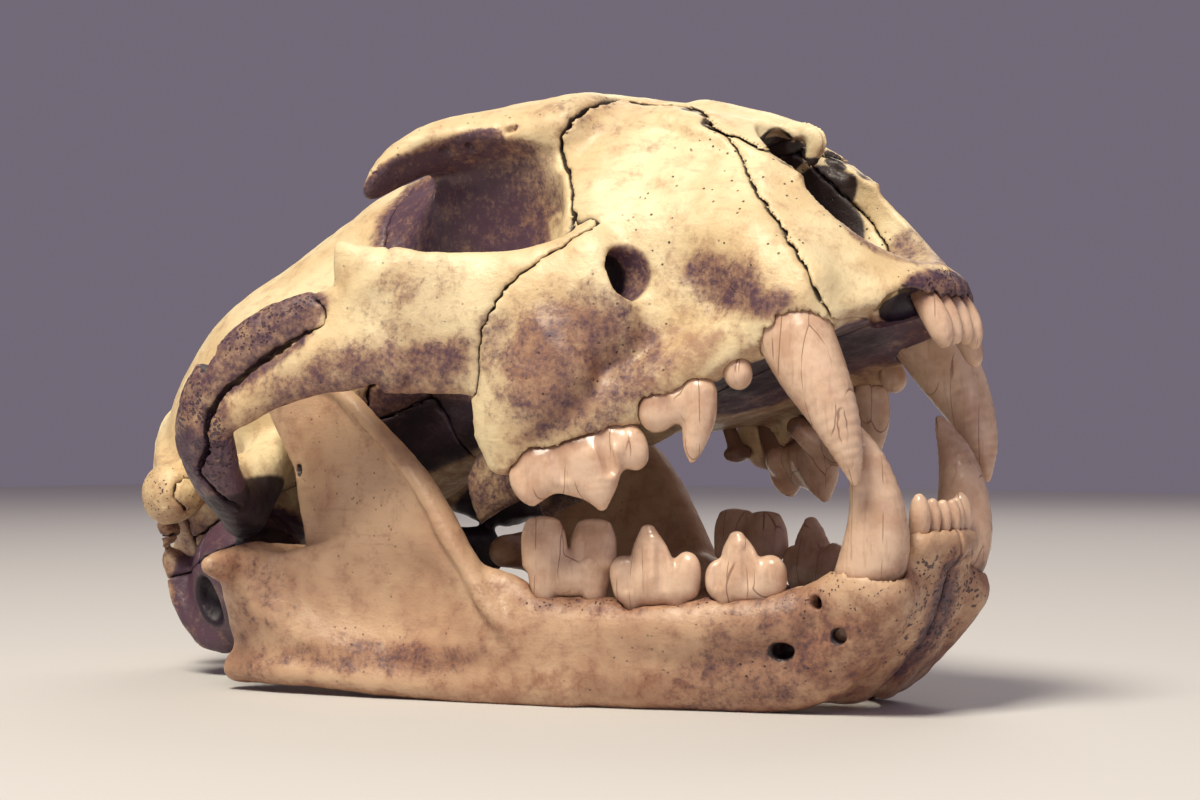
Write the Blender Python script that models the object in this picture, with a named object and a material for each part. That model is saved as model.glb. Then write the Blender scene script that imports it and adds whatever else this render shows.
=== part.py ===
# Leopard skull with its lower jaw, life size, resting on the jaw with the mouth part open.
# Shapes are set out in millimetres. The cranium has its own frame: x forward from the back of the
# condyles, y to the animal's left, z up from the tooth line. The jaw has a like frame of its own.
import itertools

import bpy
import bmesh
import numpy as np
from mathutils import Matrix

MM = 0.001
SUTURE = 0.3                      # clear gap between neighbouring bones and round each tooth
BONE_GRAIN = 1.3                  # spacing of the grid that the bones are modelled on
TOOTH_GRAIN = 0.6
CRANIUM_FACES = 1800
JAW_FACES = 400

CRANIUM_TILT = np.radians(19.8)   # nose-up lean of the cranium on the jaw
CRANIUM_PLACE = (-46.3, 0, 7.5)
JAW_TILT = np.radians(3.78)       # lean that brings chin and angular processes to one level
JAW_PLACE = (0, 0, -13.45)
FLAT_HEIGHT = 0.5                 # what the resting flats take off the underside of the jaw
SKULL_CENTRE_X = 38.7             # middle of the whole skull, front to back
FAR = 40.0

BONE_COLOUR = (0.74, 0.62, 0.46, 1)
JAW_COLOUR = (0.70, 0.56, 0.40, 1)
ENAMEL_COLOUR = (0.78, 0.60, 0.47, 1)
BONE_ROUGHNESS = 0.6
ENAMEL_ROUGHNESS = 0.3


# ---------------------------------------------------------------- soft shapes as distance fields

def smooth_min(a, b, soft):
    mix = np.clip(0.5 + 0.5 * (b - a) / soft, 0, 1)
    return b + (a - b) * mix - soft * mix * (1 - mix)


def smooth_max(a, b, soft):
    return -smooth_min(-a, -b, soft)


def smooth_path(rows, steps):
    rows = np.asarray(rows, float)
    rows = np.vstack([2 * rows[0] - rows[1], rows, 2 * rows[-1] - rows[-2]])
    t = np.linspace(0, 1, steps, endpoint=False)[:, None]
    pieces = []
    for a, b, c, d in zip(rows[:-3], rows[1:-2], rows[2:-1], rows[3:]):
        bend = (2 * a - 5 * b + 4 * c - d) * t**2 + (3 * b - a - 3 * c + d) * t**3
        pieces.append(0.5 * (2 * b + (c - a) * t + bend))
    return np.vstack(pieces + [rows[-2][None]])


def turned(degrees):
    x, y, z = np.radians(degrees)
    about_x = np.array([[1, 0, 0], [0, np.cos(x), -np.sin(x)], [0, np.sin(x), np.cos(x)]])
    about_y = np.array([[np.cos(y), 0, np.sin(y)], [0, 1, 0], [-np.sin(y), 0, np.cos(y)]])
    about_z = np.array([[np.cos(z), -np.sin(z), 0], [np.sin(z), np.cos(z), 0], [0, 0, 1]])
    return about_z @ about_y @ about_x


def egg(centre, radii, turn=(0, 0, 0)):
    centre, radii, axes = np.array(centre, float), np.array(radii, float), turned(turn)
    reach = np.abs(axes) @ radii

    def distance(*xyz):
        local = [sum(axes[k, i] * (xyz[k] - centre[k]) for k in range(3)) for i in range(3)]
        near = np.sqrt(sum((q / r)**2 for q, r in zip(local, radii)))
        slope = np.sqrt(sum((q / r**2)**2 for q, r in zip(local, radii)))
        return near * (near - 1) / np.maximum(slope, 1e-6)

    return centre - reach, centre + reach, distance


def strap(rows, side=(0, 1, 0), steps=4):
    """A bar along a smooth path. Each row is x, y, z, half thickness along side, half width across."""
    rows = smooth_path(rows, steps)
    path, thick, wide = rows[:, :3], rows[:, 3], rows[:, 4]
    side = np.array(side, float)
    reach = np.maximum(thick, wide).max()

    def distance(*xyz):
        nearest = FAR
        for i in range(len(path) - 1):
            along = path[i + 1] - path[i]
            length = np.linalg.norm(along)
            along = along / length
            out = side - (side @ along) * along
            out = out / np.linalg.norm(out)
            axes = [along, out, np.cross(along, out)]
            run, u, v = [sum(axis[k] * (xyz[k] - path[i, k]) for k in range(3)) for axis in axes]
            t = np.clip(run / length, 0, 1)
            over = run - t * length
            half_u = thick[i] + (thick[i + 1] - thick[i]) * t
            half_v = wide[i] + (wide[i + 1] - wide[i]) * t
            half_end = np.minimum(half_u, half_v)
            near = np.sqrt((u / half_u)**2 + (v / half_v)**2 + (over / half_end)**2)
            slope = np.sqrt((u / half_u**2)**2 + (v / half_v**2)**2 + (over / half_end**2)**2)
            nearest = np.minimum(nearest, near * (near - 1) / np.maximum(slope, 1e-6))
        return nearest

    return path.min(0) - reach, path.max(0) + reach, distance


def peg(start, end, start_radius, end_radius):
    return strap([(*start, start_radius, start_radius), (*end, end_radius, end_radius)], (0.3, 1, 0.2), 1)


class Clay:
    """A block of grid points that shapes are added to and carved from."""

    def __init__(self, low, high, grain):
        self.low, self.grain = np.array(low, float), grain
        counts = np.ceil((np.array(high, float) - self.low) / grain).astype(int) + 1
        self.axes = [self.low[k] + grain * np.arange(counts[k]) for k in range(3)]
        self.field = np.full(counts, FAR, np.float32)

    def window(self, low, high):
        cut = []
        for k in range(3):
            first = max(int((low[k] - self.low[k]) / self.grain), 0)
            last = min(int((high[k] - self.low[k]) / self.grain) + 2, self.field.shape[k])
            cut.append(slice(first, last))
        x, y, z = (self.axes[k][cut[k]] for k in range(3))
        return tuple(cut), (x[:, None, None], y[None, :, None], z[None, None, :])

    def add(self, shape, soft=3.0):
        low, high, distance = shape
        margin = soft + 3 * self.grain
        cut, xyz = self.window(low - margin, high + margin)
        self.field[cut] = smooth_min(self.field[cut], distance(*xyz), soft)

    def carve(self, shape, soft=2.0):
        low, high, distance = shape
        margin = soft + 3 * self.grain
        cut, xyz = self.window(low - margin, high + margin)
        self.field[cut] = smooth_max(self.field[cut], -distance(*xyz), soft)


def tetrahedra():
    """The six tetrahedra of a grid cell, as corner steps, all wound the same way."""
    for order in itertools.permutations(range(3)):
        corners = np.zeros((4, 3), int)
        for place, axis in enumerate(order):
            corners[place + 1:, axis] = 1
        if np.linalg.det(corners[1:]) < 0:
            corners[[2, 3]] = corners[[3, 2]]
        yield corners


def tetrahedron_faces(inside):
    """Edges crossed by the surface, as corner pairs in outward order, for one pattern of inside corners."""
    inner = [k for k in range(4) if inside[k]]
    outer = [k for k in range(4) if not inside[k]]
    if len(inner) == 2:
        (a, b), (c, d) = inner, outer
        ring = [(a, c), (a, d), (b, d), (b, c)]
        odd = (a + b) % 2 == 0
    else:
        lone, others = (inner[0], outer) if len(inner) == 1 else (outer[0], inner)
        ring = [(lone, other) for other in others]
        odd = (lone % 2 == 1) != (len(inner) == 3)
    if odd:
        ring = ring[::-1]
    return [ring[:3]] if len(ring) == 3 else [ring[:3], [ring[0], ring[2], ring[3]]]


def surface(field, low, grain):
    """A closed triangle mesh of the field's zero surface, by marching tetrahedra."""
    inside = field < 0
    shape = np.array(field.shape)
    whole = [slice(i, n - 1 + i) for n in shape for i in (0, 1)]
    steps = itertools.product((0, 1), repeat=3)
    corners = [inside[whole[i], whole[2 + j], whole[4 + k]] for i, j, k in steps]
    cells = np.argwhere(np.any(corners, axis=0) & ~np.all(corners, axis=0))
    stride = np.array([shape[1] * shape[2], shape[2], 1])
    flat_inside, flat_field = inside.ravel(), field.ravel()
    pairs = []
    for steps in tetrahedra():
        points = (cells[:, None, :] + steps) @ stride
        pattern = flat_inside[points] @ np.array([1, 2, 4, 8])
        for number in range(1, 15):
            rows = points[pattern == number]
            for face in tetrahedron_faces([number >> k & 1 for k in range(4)]):
                pairs.append(np.stack([np.sort(rows[:, edge], axis=1) for edge in face], axis=1))
    pairs = np.concatenate(pairs)
    keys, faces = np.unique(pairs[..., 0] * field.size + pairs[..., 1], return_inverse=True)
    a, b = keys // field.size, keys % field.size
    share = np.clip(flat_field[a] / (flat_field[a] - flat_field[b]), 0.02, 0.98)[:, None]
    place_a, place_b = np.array(np.unravel_index(a, shape)).T, np.array(np.unravel_index(b, shape)).T
    return (place_a + (place_b - place_a) * share) * grain + low, faces.reshape(-1, 3)


# ---------------------------------------------------------------- mesh helpers

def evaluated_mesh(item):
    graph = bpy.context.evaluated_depsgraph_get()
    graph.update()
    return bpy.data.meshes.new_from_object(item.evaluated_get(graph))


def apply_modifiers(item):
    mesh = evaluated_mesh(item)
    item.modifiers.clear()
    item.data = mesh


def new_object(name, mesh, collection):
    item = bpy.data.objects.new(name, mesh)
    collection.objects.link(item)
    return item


def solid_from(name, clay, faces, collection, both_sides=False):
    """A bone or tooth as a closed mesh. With both_sides the clay holds the left half of it."""
    field, low = clay.field, clay.low.copy()
    if both_sides:
        left = field[:, int(round(-low[1] / clay.grain)):, :]
        field = np.concatenate([left[:, :0:-1, :], left], axis=1)
        low[1] = (1 - left.shape[1]) * clay.grain
    points, faces_found = surface(field, low, clay.grain)
    mesh = bpy.data.meshes.new(name)
    mesh.from_pydata((points * MM).tolist(), [], faces_found.tolist())
    item = new_object(name, mesh, collection)
    relax = item.modifiers.new("relax", "SMOOTH")
    relax.factor = 0.5
    relax.iterations = 2
    thin = item.modifiers.new("thin", "DECIMATE")
    thin.ratio = faces / len(faces_found)
    thin.use_collapse_triangulate = True
    apply_modifiers(item)
    return item


def swell(item, amount, collection):
    """A copy of a solid whose surface lies a set distance further out."""
    mesh = item.data.copy()
    shape = bmesh.new()
    shape.from_mesh(mesh)
    shape.normal_update()
    moves = [vert.normal * (amount * MM * min(vert.calc_shell_factor(), 2.0)) for vert in shape.verts]
    for vert, move in zip(shape.verts, moves):
        vert.co += move
    shape.to_mesh(mesh)
    shape.free()
    return new_object(item.name + "_room", mesh, collection)


def mirrored(item, name, collection):
    mesh = item.data.copy()
    mesh.transform(Matrix.Diagonal((1, -1, 1, 1)))
    mesh.flip_normals()
    return new_object(name, mesh, collection)


def combine(item, cutter, operation, solver="EXACT"):
    modifier = item.modifiers.new("cut", "BOOLEAN")
    modifier.operation = operation
    modifier.solver = solver
    modifier.object = cutter
    apply_modifiers(item)


def remove(items):
    for item in items:
        bpy.data.objects.remove(item)


def prism(name, outline, y_low, y_high, grow, collection):
    """A block whose side view is the outline (x, z), swollen evenly by grow."""
    shape = bmesh.new()
    verts = [shape.verts.new((x * MM, y_low * MM, z * MM)) for x, z in outline]
    face = shape.faces.new(verts)
    shape.normal_update()
    if face.normal.y > 0:
        face.normal_flip()
    pushed = bmesh.ops.extrude_face_region(shape, geom=[face])["geom"]
    moved = [item for item in pushed if isinstance(item, bmesh.types.BMVert)]
    bmesh.ops.translate(shape, verts=moved, vec=(0, (y_high - y_low) * MM, 0))
    bmesh.ops.recalc_face_normals(shape, faces=shape.faces)
    shape.normal_update()
    for vert, move in [(v, v.normal * grow * MM * v.calc_shell_factor()) for v in shape.verts]:
        vert.co += move
    mesh = bpy.data.meshes.new(name)
    shape.to_mesh(mesh)
    shape.free()
    return new_object(name, mesh, collection)


# ---------------------------------------------------------------- the cranium

FACE_STATIONS = [100, 112, 122, 132, 141, 150, 160, 170, 177, 183, 187, 190]
FACE_GUM_HALF = [30, 33, 35, 34, 31, 28, 26.5, 26.0, 22.0, 15.5, 10.5, 5]
FACE_WAIST_HALF = [16, 18, 24, 30, 30.5, 27.0, 24.0, 22.0, 18.5, 14.0, 9.5, 4]
FACE_ROOF_HALF = [21, 19, 18, 17.5, 16.5, 14.5, 13.5, 13.0, 13, 11, 8, 3]
FACE_ROOF = [66, 66.5, 65.5, 63, 59.5, 54.7, 48.4, 41.0, 27.5, 15.5, 9, 6]
FACE_FLOOR = [8, 4, 2, 1, 1, 1, 1, 1, 1, 1, 1, 1]
FACE_FRONT = 190.5


def face_block():
    def distance(x, y, z):
        gum, waist, top, roof, floor = (
            np.interp(x, FACE_STATIONS, table)
            for table in (FACE_GUM_HALF, FACE_WAIST_HALF, FACE_ROOF_HALF, FACE_ROOF, FACE_FLOOR))
        height = np.clip((z - floor) / np.maximum(roof - floor, 1), 0, 1)
        lower = np.clip(height / 0.45, 0, 1)
        upper = np.clip((height - 0.45) / 0.55, 0, 1)
        half = gum + (waist - gum) * lower**2 * (3 - 2 * lower) + (top - waist) * upper**2 * (3 - 2 * upper)
        skin = smooth_max((y - half) * 0.92, (z - roof + 0.012 * y * y) * 0.85, 9)
        skin = smooth_max(skin, floor - z, 2)
        return smooth_max(skin, np.maximum(FACE_STATIONS[0] - x, x - FACE_FRONT), 3)

    return np.array([98.0, 0, -3]), np.array([193.0, 42, 75]), distance


def add_braincase(clay):
    clay.add(egg((50, 0, 35), (38, 32, 27)), 0.1)
    clay.add(egg((74, 0, 42), (32, 22, 24.5)), 8)
    clay.add(egg((30, 0, 30), (19, 28.5, 20)), 8)
    clay.add(egg((110, 0, 49), (30, 20, 18)), 6)
    clay.add(egg((118, 0, 34), (30, 16, 32)), 5)
    crest = [(97, 0, 62.5, 6, 4.5), (84, 0, 64, 4.5, 4), (75, 0, 65, 3, 3.6), (67, 0, 65.3, 1.8, 3.2),
             (56, 0, 62.5, 1.5, 3), (45, 0, 60, 1.5, 3), (32, 0, 56, 1.5, 3), (20, 0, 50.5, 1.5, 3),
             (11, 0, 45.5, 2, 3)]
    clay.add(strap(crest), 4)


def add_occiput(clay):
    clay.add(egg((16.5, 0, 26.5), (8.5, 26.5, 17.5)), 5)
    crest = [(10.5, 0, 45.5, 1.8, 3.2), (13, 11, 42.5, 1.8, 3.4), (18.5, 20.5, 34.5, 1.8, 3.4),
             (23, 28, 27, 2, 3.6), (26, 31, 21, 3.6, 4.5)]
    clay.add(strap(crest, (1, 0.2, 0.3)), 4)
    clay.add(egg((24.4, 32, 22.2), (6, 4.8, 6)), 2.5)                     # mastoid knob
    clay.add(egg((8, 12, 12), (6.5, 6.5, 8.5), (25, 0, 20)), 3)             # condyle
    process = [(17.5, 28.5, 17, 2.4, 3), (14.2, 28, 13.8, 1.9, 1.6), (17.2, 27.2, 9.5, 2, 3),
               (17.6, 26.6, 2, 2.2, 4), (19.6, 26, -5, 2.4, 3.5), (24, 25.5, -8.5, 2.4, 3)]
    clay.add(strap(process, (1, 0.3, 0)), 2.5)


def add_skull_base(clay):
    clay.add(strap([(12, 0, 15, 20, 6), (40, 0, 15, 17, 7), (80, 0, 16, 11, 8), (112, 0, 16, 12, 8)]), 5)
    clay.add(egg((30, 21.5, 2), (16, 11, 13.5), (0, 0, 22)), 2.5)           # ear bulla
    wing = [(112, 12, 8, 1.6, 8), (96, 10.5, 5, 1.5, 8), (84, 10, 1, 1.3, 5), (78, 10, -3, 1.2, 3)]
    clay.add(strap(wing), 2.5)


def add_face(clay):
    clay.add(face_block(), 5)
    brow = [(134, 15, 56.5, 5, 8), (120, 17.5, 60.5, 4.8, 9), (108, 24, 62.5, 4.6, 9),
            (102, 29.5, 60.6, 3.8, 6.5), (96.8, 34.2, 56.4, 2.2, 3)]
    clay.add(strap(brow, (0, 0.35, 1)), 5)
    tooth_row = [(113, 37, 0, 2.2, 5), (122, 38.2, 0, 3.2, 6), (130, 35.4, 0, 3.6, 6),
                 (138, 31.8, 0.5, 3.6, 5.5), (147, 28.8, 1.5, 3.6, 5), (157, 25.6, 3, 3.6, 4.5),
                 (163, 22.6, 4, 3.6, 4.5)]
    clay.add(strap(tooth_row), 3)
    canine_root = [(171, 21, 6, 6.2, 8.5), (166, 20.5, 16, 5.4, 7), (156, 18.5, 27, 4, 5.5)]
    clay.add(strap(canine_root), 5)
    clay.add(egg((183.5, 0, 4), (5.5, 13, 4.5)), 2)
    cheek_root = [(132, 37.5, 12, 4.5, 9), (124, 40.5, 8, 4.2, 9), (118.5, 41.5, 2.5, 3.2, 6.5),
                  (116, 40.5, -3, 2.2, 3.5)]
    clay.add(strap(cheek_root), 3)


def carve_orbit_and_temple(clay):
    clay.carve(egg((112, 36, 43), (24, 16, 18.5), (0, 0, -20)), 3)
    clay.carve(egg((80, 46, 36), (30, 20, 30), (0, 0, 6)), 4)


def add_cheek_arch(clay):
    jugal = [(141, 31, 20, 5, 12), (131.5, 35.5, 19.5, 4.5, 12), (122, 40, 21, 4, 12.5),
             (111, 45.4, 24.2, 3.2, 13.8), (104, 48.6, 27.8, 3, 12.8), (97, 51, 26, 3, 8.8),
             (92, 52.6, 25.5, 3, 7), (86, 54.4, 24.7, 3, 5.4), (80, 56.2, 24, 2.8, 4.6),
             (73, 58, 22.4, 2.5, 3.8), (66, 59.4, 19.6, 1.4, 1.4)]
    clay.add(strap(jugal), 3)
    clay.add(strap([(104, 48.6, 34, 2.8, 6), (102, 50, 40, 2.3, 3.6), (101.3, 50.6, 42.9, 1.4, 1.6)]), 3)
    temporal = [(97, 51, 34.8, 1.4, 1.2), (92, 52.6, 34.6, 2.4, 3.2), (86, 54.4, 34.2, 2.8, 4.4),
                (80, 56.2, 32.8, 3.2, 4.8), (73, 57.9, 30.3, 3.4, 5), (68, 58.3, 27.2, 3.5, 6),
                (64, 57.5, 22.5, 3.6, 7), (60.5, 55, 17.5, 3.8, 7.2), (57, 50.5, 13.8, 4.2, 7),
                (54, 44, 12.5, 4.6, 7.5), (51, 37, 13.5, 5, 8.5), (47, 27, 20, 5, 10)]
    clay.add(strap(temporal), 2)
    behind_jaw_joint = [(45, 26, 1.5, 2.6, 5), (45, 36, 1.5, 2.4, 5)]
    clay.add(strap(behind_jaw_joint, (1, 0, 0)), 2.5)


def add_nasal_tips(clay):
    side_tip = [(152, 10.4, 50.5, 1.6, 4), (162, 12, 43, 1.5, 3), (170, 12.2, 35.5, 1.4, 2.4),
                (175.5, 12.2, 29.5, 1, 1.2)]
    clay.add(strap(side_tip, (0.4, 0.3, 1)), 2)
    middle_tip = [(152, 0, 52.5, 1.8, 5), (162, 0, 46.2, 1.8, 3.6), (171, 0, 39.5, 1.6, 2.2),
                  (172, 0, 37, 1.2, 1.6)]
    clay.add(strap(middle_tip, (0.5, 0, 1)), 2)


def carve_openings(clay):
    nose = [(196, 0, 16, 11, 9), (184, 0, 21, 12.2, 12), (172, 0, 25.5, 11.8, 13), (160, 0, 28, 10, 13),
            (148, 0, 31, 8, 12)]
    clay.carve(strap(nose), 1.5)
    nasal_notch = [(182, 6.4, 36, 3.2, 5), (172, 6.4, 40, 3, 4.5), (168.4, 6.2, 42.5, 2, 3)]
    clay.carve(strap(nasal_notch), 1)
    palate = [(181, 0, -5, 10, 7), (162, 0, -5, 17, 8), (142, 0, -6, 24, 9), (122, 0, -6, 26, 9),
              (108, 0, -4, 14, 9), (92, 0, -3, 8, 11), (76, 0, -4, 7, 11)]
    clay.carve(strap(palate), 2)
    nerve_canal = [(152, 38, 21, 3.8, 5), (142, 30.5, 22, 4, 5), (130, 28, 27, 4, 5)]
    clay.carve(strap(nerve_canal), 1.2)
    clay.carve(egg((135, 25.5, 24), (8, 4.5, 5.5)), 1.5)
    clay.carve(egg((27, 32.5, -1), (4, 6, 5)), 1.5)                         # ear opening
    clay.carve(egg((6, 0, 19), (16, 8.5, 7.5)), 1.5)                        # foramen magnum
    jaw_joint = [(52.6, 24, -1.2, 6.4, 6.4), (52.6, 60, -0.6, 6.2, 6.2)]
    clay.carve(strap(jaw_joint, (1, 0, 0), 1), 1)


def cranium_clay(grain):
    clay = Clay((-4, -3 * grain, -18), (196, 70, 78), grain)
    add_braincase(clay)
    add_occiput(clay)
    add_skull_base(clay)
    add_face(clay)
    carve_orbit_and_temple(clay)
    add_cheek_arch(clay)
    carve_openings(clay)
    add_nasal_tips(clay)
    return clay


# ---------------------------------------------------------------- the lower jaw, left half

def chin_joint():
    """The space across the middle of the chin, where the two halves of the jaw meet."""
    def distance(x, y, z):
        return y - 0.4 + 0 * (x + z)

    return np.array([90.0, -4, -2]), np.array([142.0, 3, 50]), distance


def jaw_clay(grain):
    clay = Clay((-10, -3, -2), (142, 62, 80), grain)
    body = [(112.5, 12, 19.5, 5.2, 9.8), (105, 15, 16.9, 5.4, 10), (92, 20, 17.3, 5.2, 9.6),
            (78, 25.5, 18, 5.2, 9.4), (66, 29.4, 19.4, 5, 9.4), (57, 32, 22.6, 4.6, 11.4),
            (50, 33.5, 23.6, 4.4, 12), (36, 37, 26, 3.8, 12.5), (24, 39.5, 27, 3.4, 11), (14, 41, 26.5, 3, 9)]
    clay.add(strap(body), 0.1)
    clay.add(strap([(110, 17.6, 23.2, 4.4, 5), (95, 22.3, 22.6, 4.4, 5), (80, 26.6, 23, 4.4, 5),
                    (64, 30.2, 24.4, 4.2, 5)]), 2.5)
    clay.add(strap([(125, 12.4, 27.5, 6.4, 7.4), (117.5, 11.8, 20, 6.2, 7.2), (109, 11.6, 15, 5, 6.6)]), 3)
    clay.add(strap([(127, 3, 30.5, 8, 5.6), (122.2, 3.2, 22, 8, 6.2), (112.5, 4.5, 13.6, 7, 6.6)]), 3)
    lower_ridge = [(70, 29, 12.4, 3.4, 3.5), (50, 33, 13.1, 3.2, 3.2), (30, 38, 14.6, 3.2, 3),
                   (12, 41, 16.2, 3.4, 3), (1.5, 41.5, 17, 3.6, 3)]
    clay.add(strap(lower_ridge), 3)
    coronoid = [(37.5, 35.5, 26.4, 2.8, 20), (33.7, 36.4, 37.5, 2.5, 18), (30.2, 37, 45, 2.2, 16),
                (26.2, 37.3, 52.4, 2, 13.5), (21.9, 37.2, 60, 1.8, 10.7), (16, 36.8, 65.4, 1.6, 9),
                (9.5, 36.3, 70, 1.4, 5.6), (6, 36, 73, 1.1, 2.4)]
    clay.add(strap(coronoid), 3)
    front_ridge = [(64, 31, 20, 2.4, 1.8), (60.6, 33.6, 25.2, 2.8, 2.1), (56.6, 34.6, 30.7, 2.8, 2.1),
                   (53, 35.2, 37.1, 2.6, 2.1), (46, 36.2, 49.5, 2.4, 2), (40.7, 36.8, 55.8, 2.2, 1.9),
                   (33.8, 37, 62.3, 2, 1.8), (27.4, 37, 67.6, 1.8, 1.6), (17, 36.8, 72.4, 1.5, 1.3),
                   (8.5, 36.3, 74.2, 1.2, 1.2)]
    clay.add(strap(front_ridge), 2)
    clay.add(strap([(7, 30, 37, 3.6, 3.6), (6.5, 42, 37, 4.6, 4.6), (7, 54, 37.8, 3.2, 3.2)], (1, 0, 0)), 2)
    clay.add(strap([(8, 43, 33, 3, 6), (20, 40, 31, 2.6, 9), (34, 38, 29, 2.6, 10)]), 4)
    clay.add(strap([(8, 47.5, 36, 2.6, 4.6), (7.8, 45.5, 31, 2.4, 6), (7.5, 43, 25, 2.4, 7),
                    (7.5, 41.5, 20, 2.6, 7)]), 3)
    clay.carve(egg((36, 47.2, 32), (25, 9.4, 15), (0, 13, -10)), 2.5)        # hollow of the chewing muscle
    clay.carve(egg((92, 0, 20), (26, 9, 20), (0, 0, 8)), 3)
    clay.carve(peg((118.1, 20, 19.8), (116, 11, 19.8), 1.4, 1.2), 0.6)
    clay.carve(peg((107, 23, 17.5), (105, 14, 17.5), 1.8, 1.4), 0.6)
    clay.carve(chin_joint(), 0.5)
    return clay


# ---------------------------------------------------------------- the teeth, left side
# The upper teeth are in the cranium's frame and the lower ones in the jaw's.

def upper_canine():
    return [strap([(163.5, 18.5, 14, 4, 5), (168.6, 21.4, 4, 5.4, 6.7), (171, 22.6, -5, 5.2, 6.2),
                   (172.7, 22.8, -13, 4.1, 4.7), (173.2, 22.5, -20, 2.8, 3.1), (172.7, 22, -25, 1.3, 1.4),
                   (172.4, 21.9, -26.8, 0.6, 0.6)])]


def upper_premolar_2():
    return [egg((158.3, 25, -2), (2.6, 2.2, 2.9)),
            peg((158.4, 24.7, -1), (158.3, 24.4, 4), 1.6, 1.3)]


def upper_premolar_3():
    return [strap([(143, 30.6, -2.8, 2.4, 3.3), (147.5, 29, -3.8, 2.4, 3.2)]),
            strap([(151.2, 27.7, -3, 2.7, 3.4), (150, 28, -7, 2.4, 3.2), (147.8, 28.7, -11.4, 1.5, 2),
                   (146.8, 28.9, -13.6, 0.6, 0.7)]),
            egg((143.3, 30.4, -4.4), (2.8, 2.1, 2.8)),
            peg((151, 27.4, -2), (151.5, 26.5, 5), 2.3, 1.6),
            peg((143.5, 30.2, -2), (144, 29, 5), 2.3, 1.8)]


def upper_carnassial():
    crown = [(136.2, 32.3, -7.2, 1.9, 2.6), (130, 34.8, -7.6, 3, 5.6), (123, 38.2, -7.2, 2.3, 4.4),
             (117.5, 40.6, -7.8, 1.6, 3)]
    main_cusp = [(130.6, 34.8, -9, 2.9, 4.2), (130.1, 35, -13.4, 1.8, 2.4), (130.1, 35, -16.4, 0.6, 0.7)]
    rear_blade = [(122.5, 38.4, -9, 1.8, 3.2), (119.6, 39.8, -11.4, 1, 1.6)]
    return [strap([(137.6, 31.7, -7, 2.3, 3.2), (131, 34.5, -7.2, 3.2, 5), (124, 37.8, -6.6, 2.6, 4.4),
                   (118.6, 40, -7.6, 2.1, 3.6)]),
            strap([(131.4, 34.4, -8, 3.1, 5.6), (130.7, 34.8, -12.5, 2.3, 3.6), (130.1, 35, -16.1, 0.9, 1.1)]),
            strap([(124, 37.9, -7.6, 2.1, 3.4), (119, 40, -9.3, 1.8, 3.3)]),
            egg((137.6, 31.9, -8.6), (2.8, 2.2, 3.6)),
            peg((134.6, 32.6, -5), (134.8, 31, 4), 2.6, 1.8),
            peg((121.5, 38, -5), (122, 36.5, 4), 3.6, 2.2),
            peg((134, 31, -6), (134, 26.5, -3), 2.6, 2)]


def upper_molar():
    return [egg((114.5, 33.5, -1.5), (1.9, 3.4, 1.8), (0, 0, -12)),
            peg((114.5, 33.5, -1), (114.5, 33, 4), 1.6, 1.3)]


def upper_incisor_3():
    return [strap([(181.4, 11.2, 5, 2, 2.3), (182.8, 11.4, -2, 2.2, 2.6),
                   (183, 11.4, -7, 1.6, 1.8), (183, 11.4, -8.4, 1, 1)])]


def upper_incisor_2():
    return [strap([(184.2, 6.5, 4.5, 1.8, 1.9), (185.7, 6.6, -2, 2.2, 2.3),
                   (185.9, 6.5, -6, 2, 2), (185.8, 6.4, -7.5, 1.3, 1.3)])]


def upper_incisor_1():
    return [strap([(185.2, 2.3, 4.5, 1.5, 1.7), (186.6, 2.3, -2, 1.8, 2),
                   (186.6, 2.25, -5.8, 1.6, 1.8), (186.4, 2.2, -7, 1.1, 1.2)])]


def lower_canine():
    return [strap([(119, 12.4, 22, 4.2, 5.2), (125.8, 13.5, 33, 4.8, 6.1), (127.5, 14.3, 41, 4.2, 5),
                   (126.4, 14.9, 49, 3, 3.5), (123.9, 15.2, 55, 1.4, 1.6), (123, 15.2, 57, 0.6, 0.7)])]


def lower_premolar_3():
    return [strap([(108.5, 18.1, 30.2, 2, 3.2), (103, 20, 30, 2.7, 4), (98.8, 21.6, 30.4, 2.2, 3.2)]),
            strap([(102.8, 20, 31.5, 2.6, 4.2), (102.5, 20.2, 35, 1.9, 2.8), (102.4, 20.3, 38, 0.9, 1.1)]),
            egg((99.3, 21.4, 31.6), (2.3, 2, 2.4)),
            egg((107.8, 18.4, 31.6), (2.8, 2, 2.8)),
            peg((106, 18.6, 29), (106, 17.6, 20), 2.1, 1.5),
            peg((100, 21, 29), (100, 20, 20), 2.2, 1.5)]


def lower_premolar_4():
    return [strap([(93.8, 23.3, 30.6, 2.1, 3.4), (88, 25.2, 30.4, 2.9, 4.2), (82.6, 27, 30.8, 2.3, 3.6)]),
            strap([(87.7, 25.4, 32, 2.8, 4.4), (87.4, 25.6, 36, 2.1, 3.2), (87.3, 25.7, 40, 0.9, 1.2)]),
            egg((82.5, 27, 32.6), (2.7, 2.1, 3)),
            egg((93.7, 23.4, 32.6), (2.6, 1.9, 3.1)),
            peg((91.5, 23.8, 29), (91.5, 22.8, 20), 2.3, 1.6),
            peg((84, 26.2, 29), (84, 25.2, 20), 2.4, 1.6)]


def lower_carnassial():
    return [strap([(76.6, 26.6, 33, 2.3, 3.4), (71.5, 28.1, 32.8, 3, 4.3), (66, 29.7, 33.4, 2.4, 3.8)]),
            strap([(75.7, 27, 35, 2.6, 3.7), (76, 26.8, 38.6, 2, 3.5), (76.3, 26.6, 41.2, 1.1, 1.9)]),
            strap([(67.1, 29.5, 35, 2.6, 3.9), (67.2, 29.7, 39.4, 2, 3.6), (67.4, 29.8, 42, 1.1, 2)]),
            peg((75.5, 26.9, 31), (75.5, 26, 22), 2.4, 1.8),
            peg((66.5, 29.6, 31), (66.5, 29, 22), 2.6, 1.8)]


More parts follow.
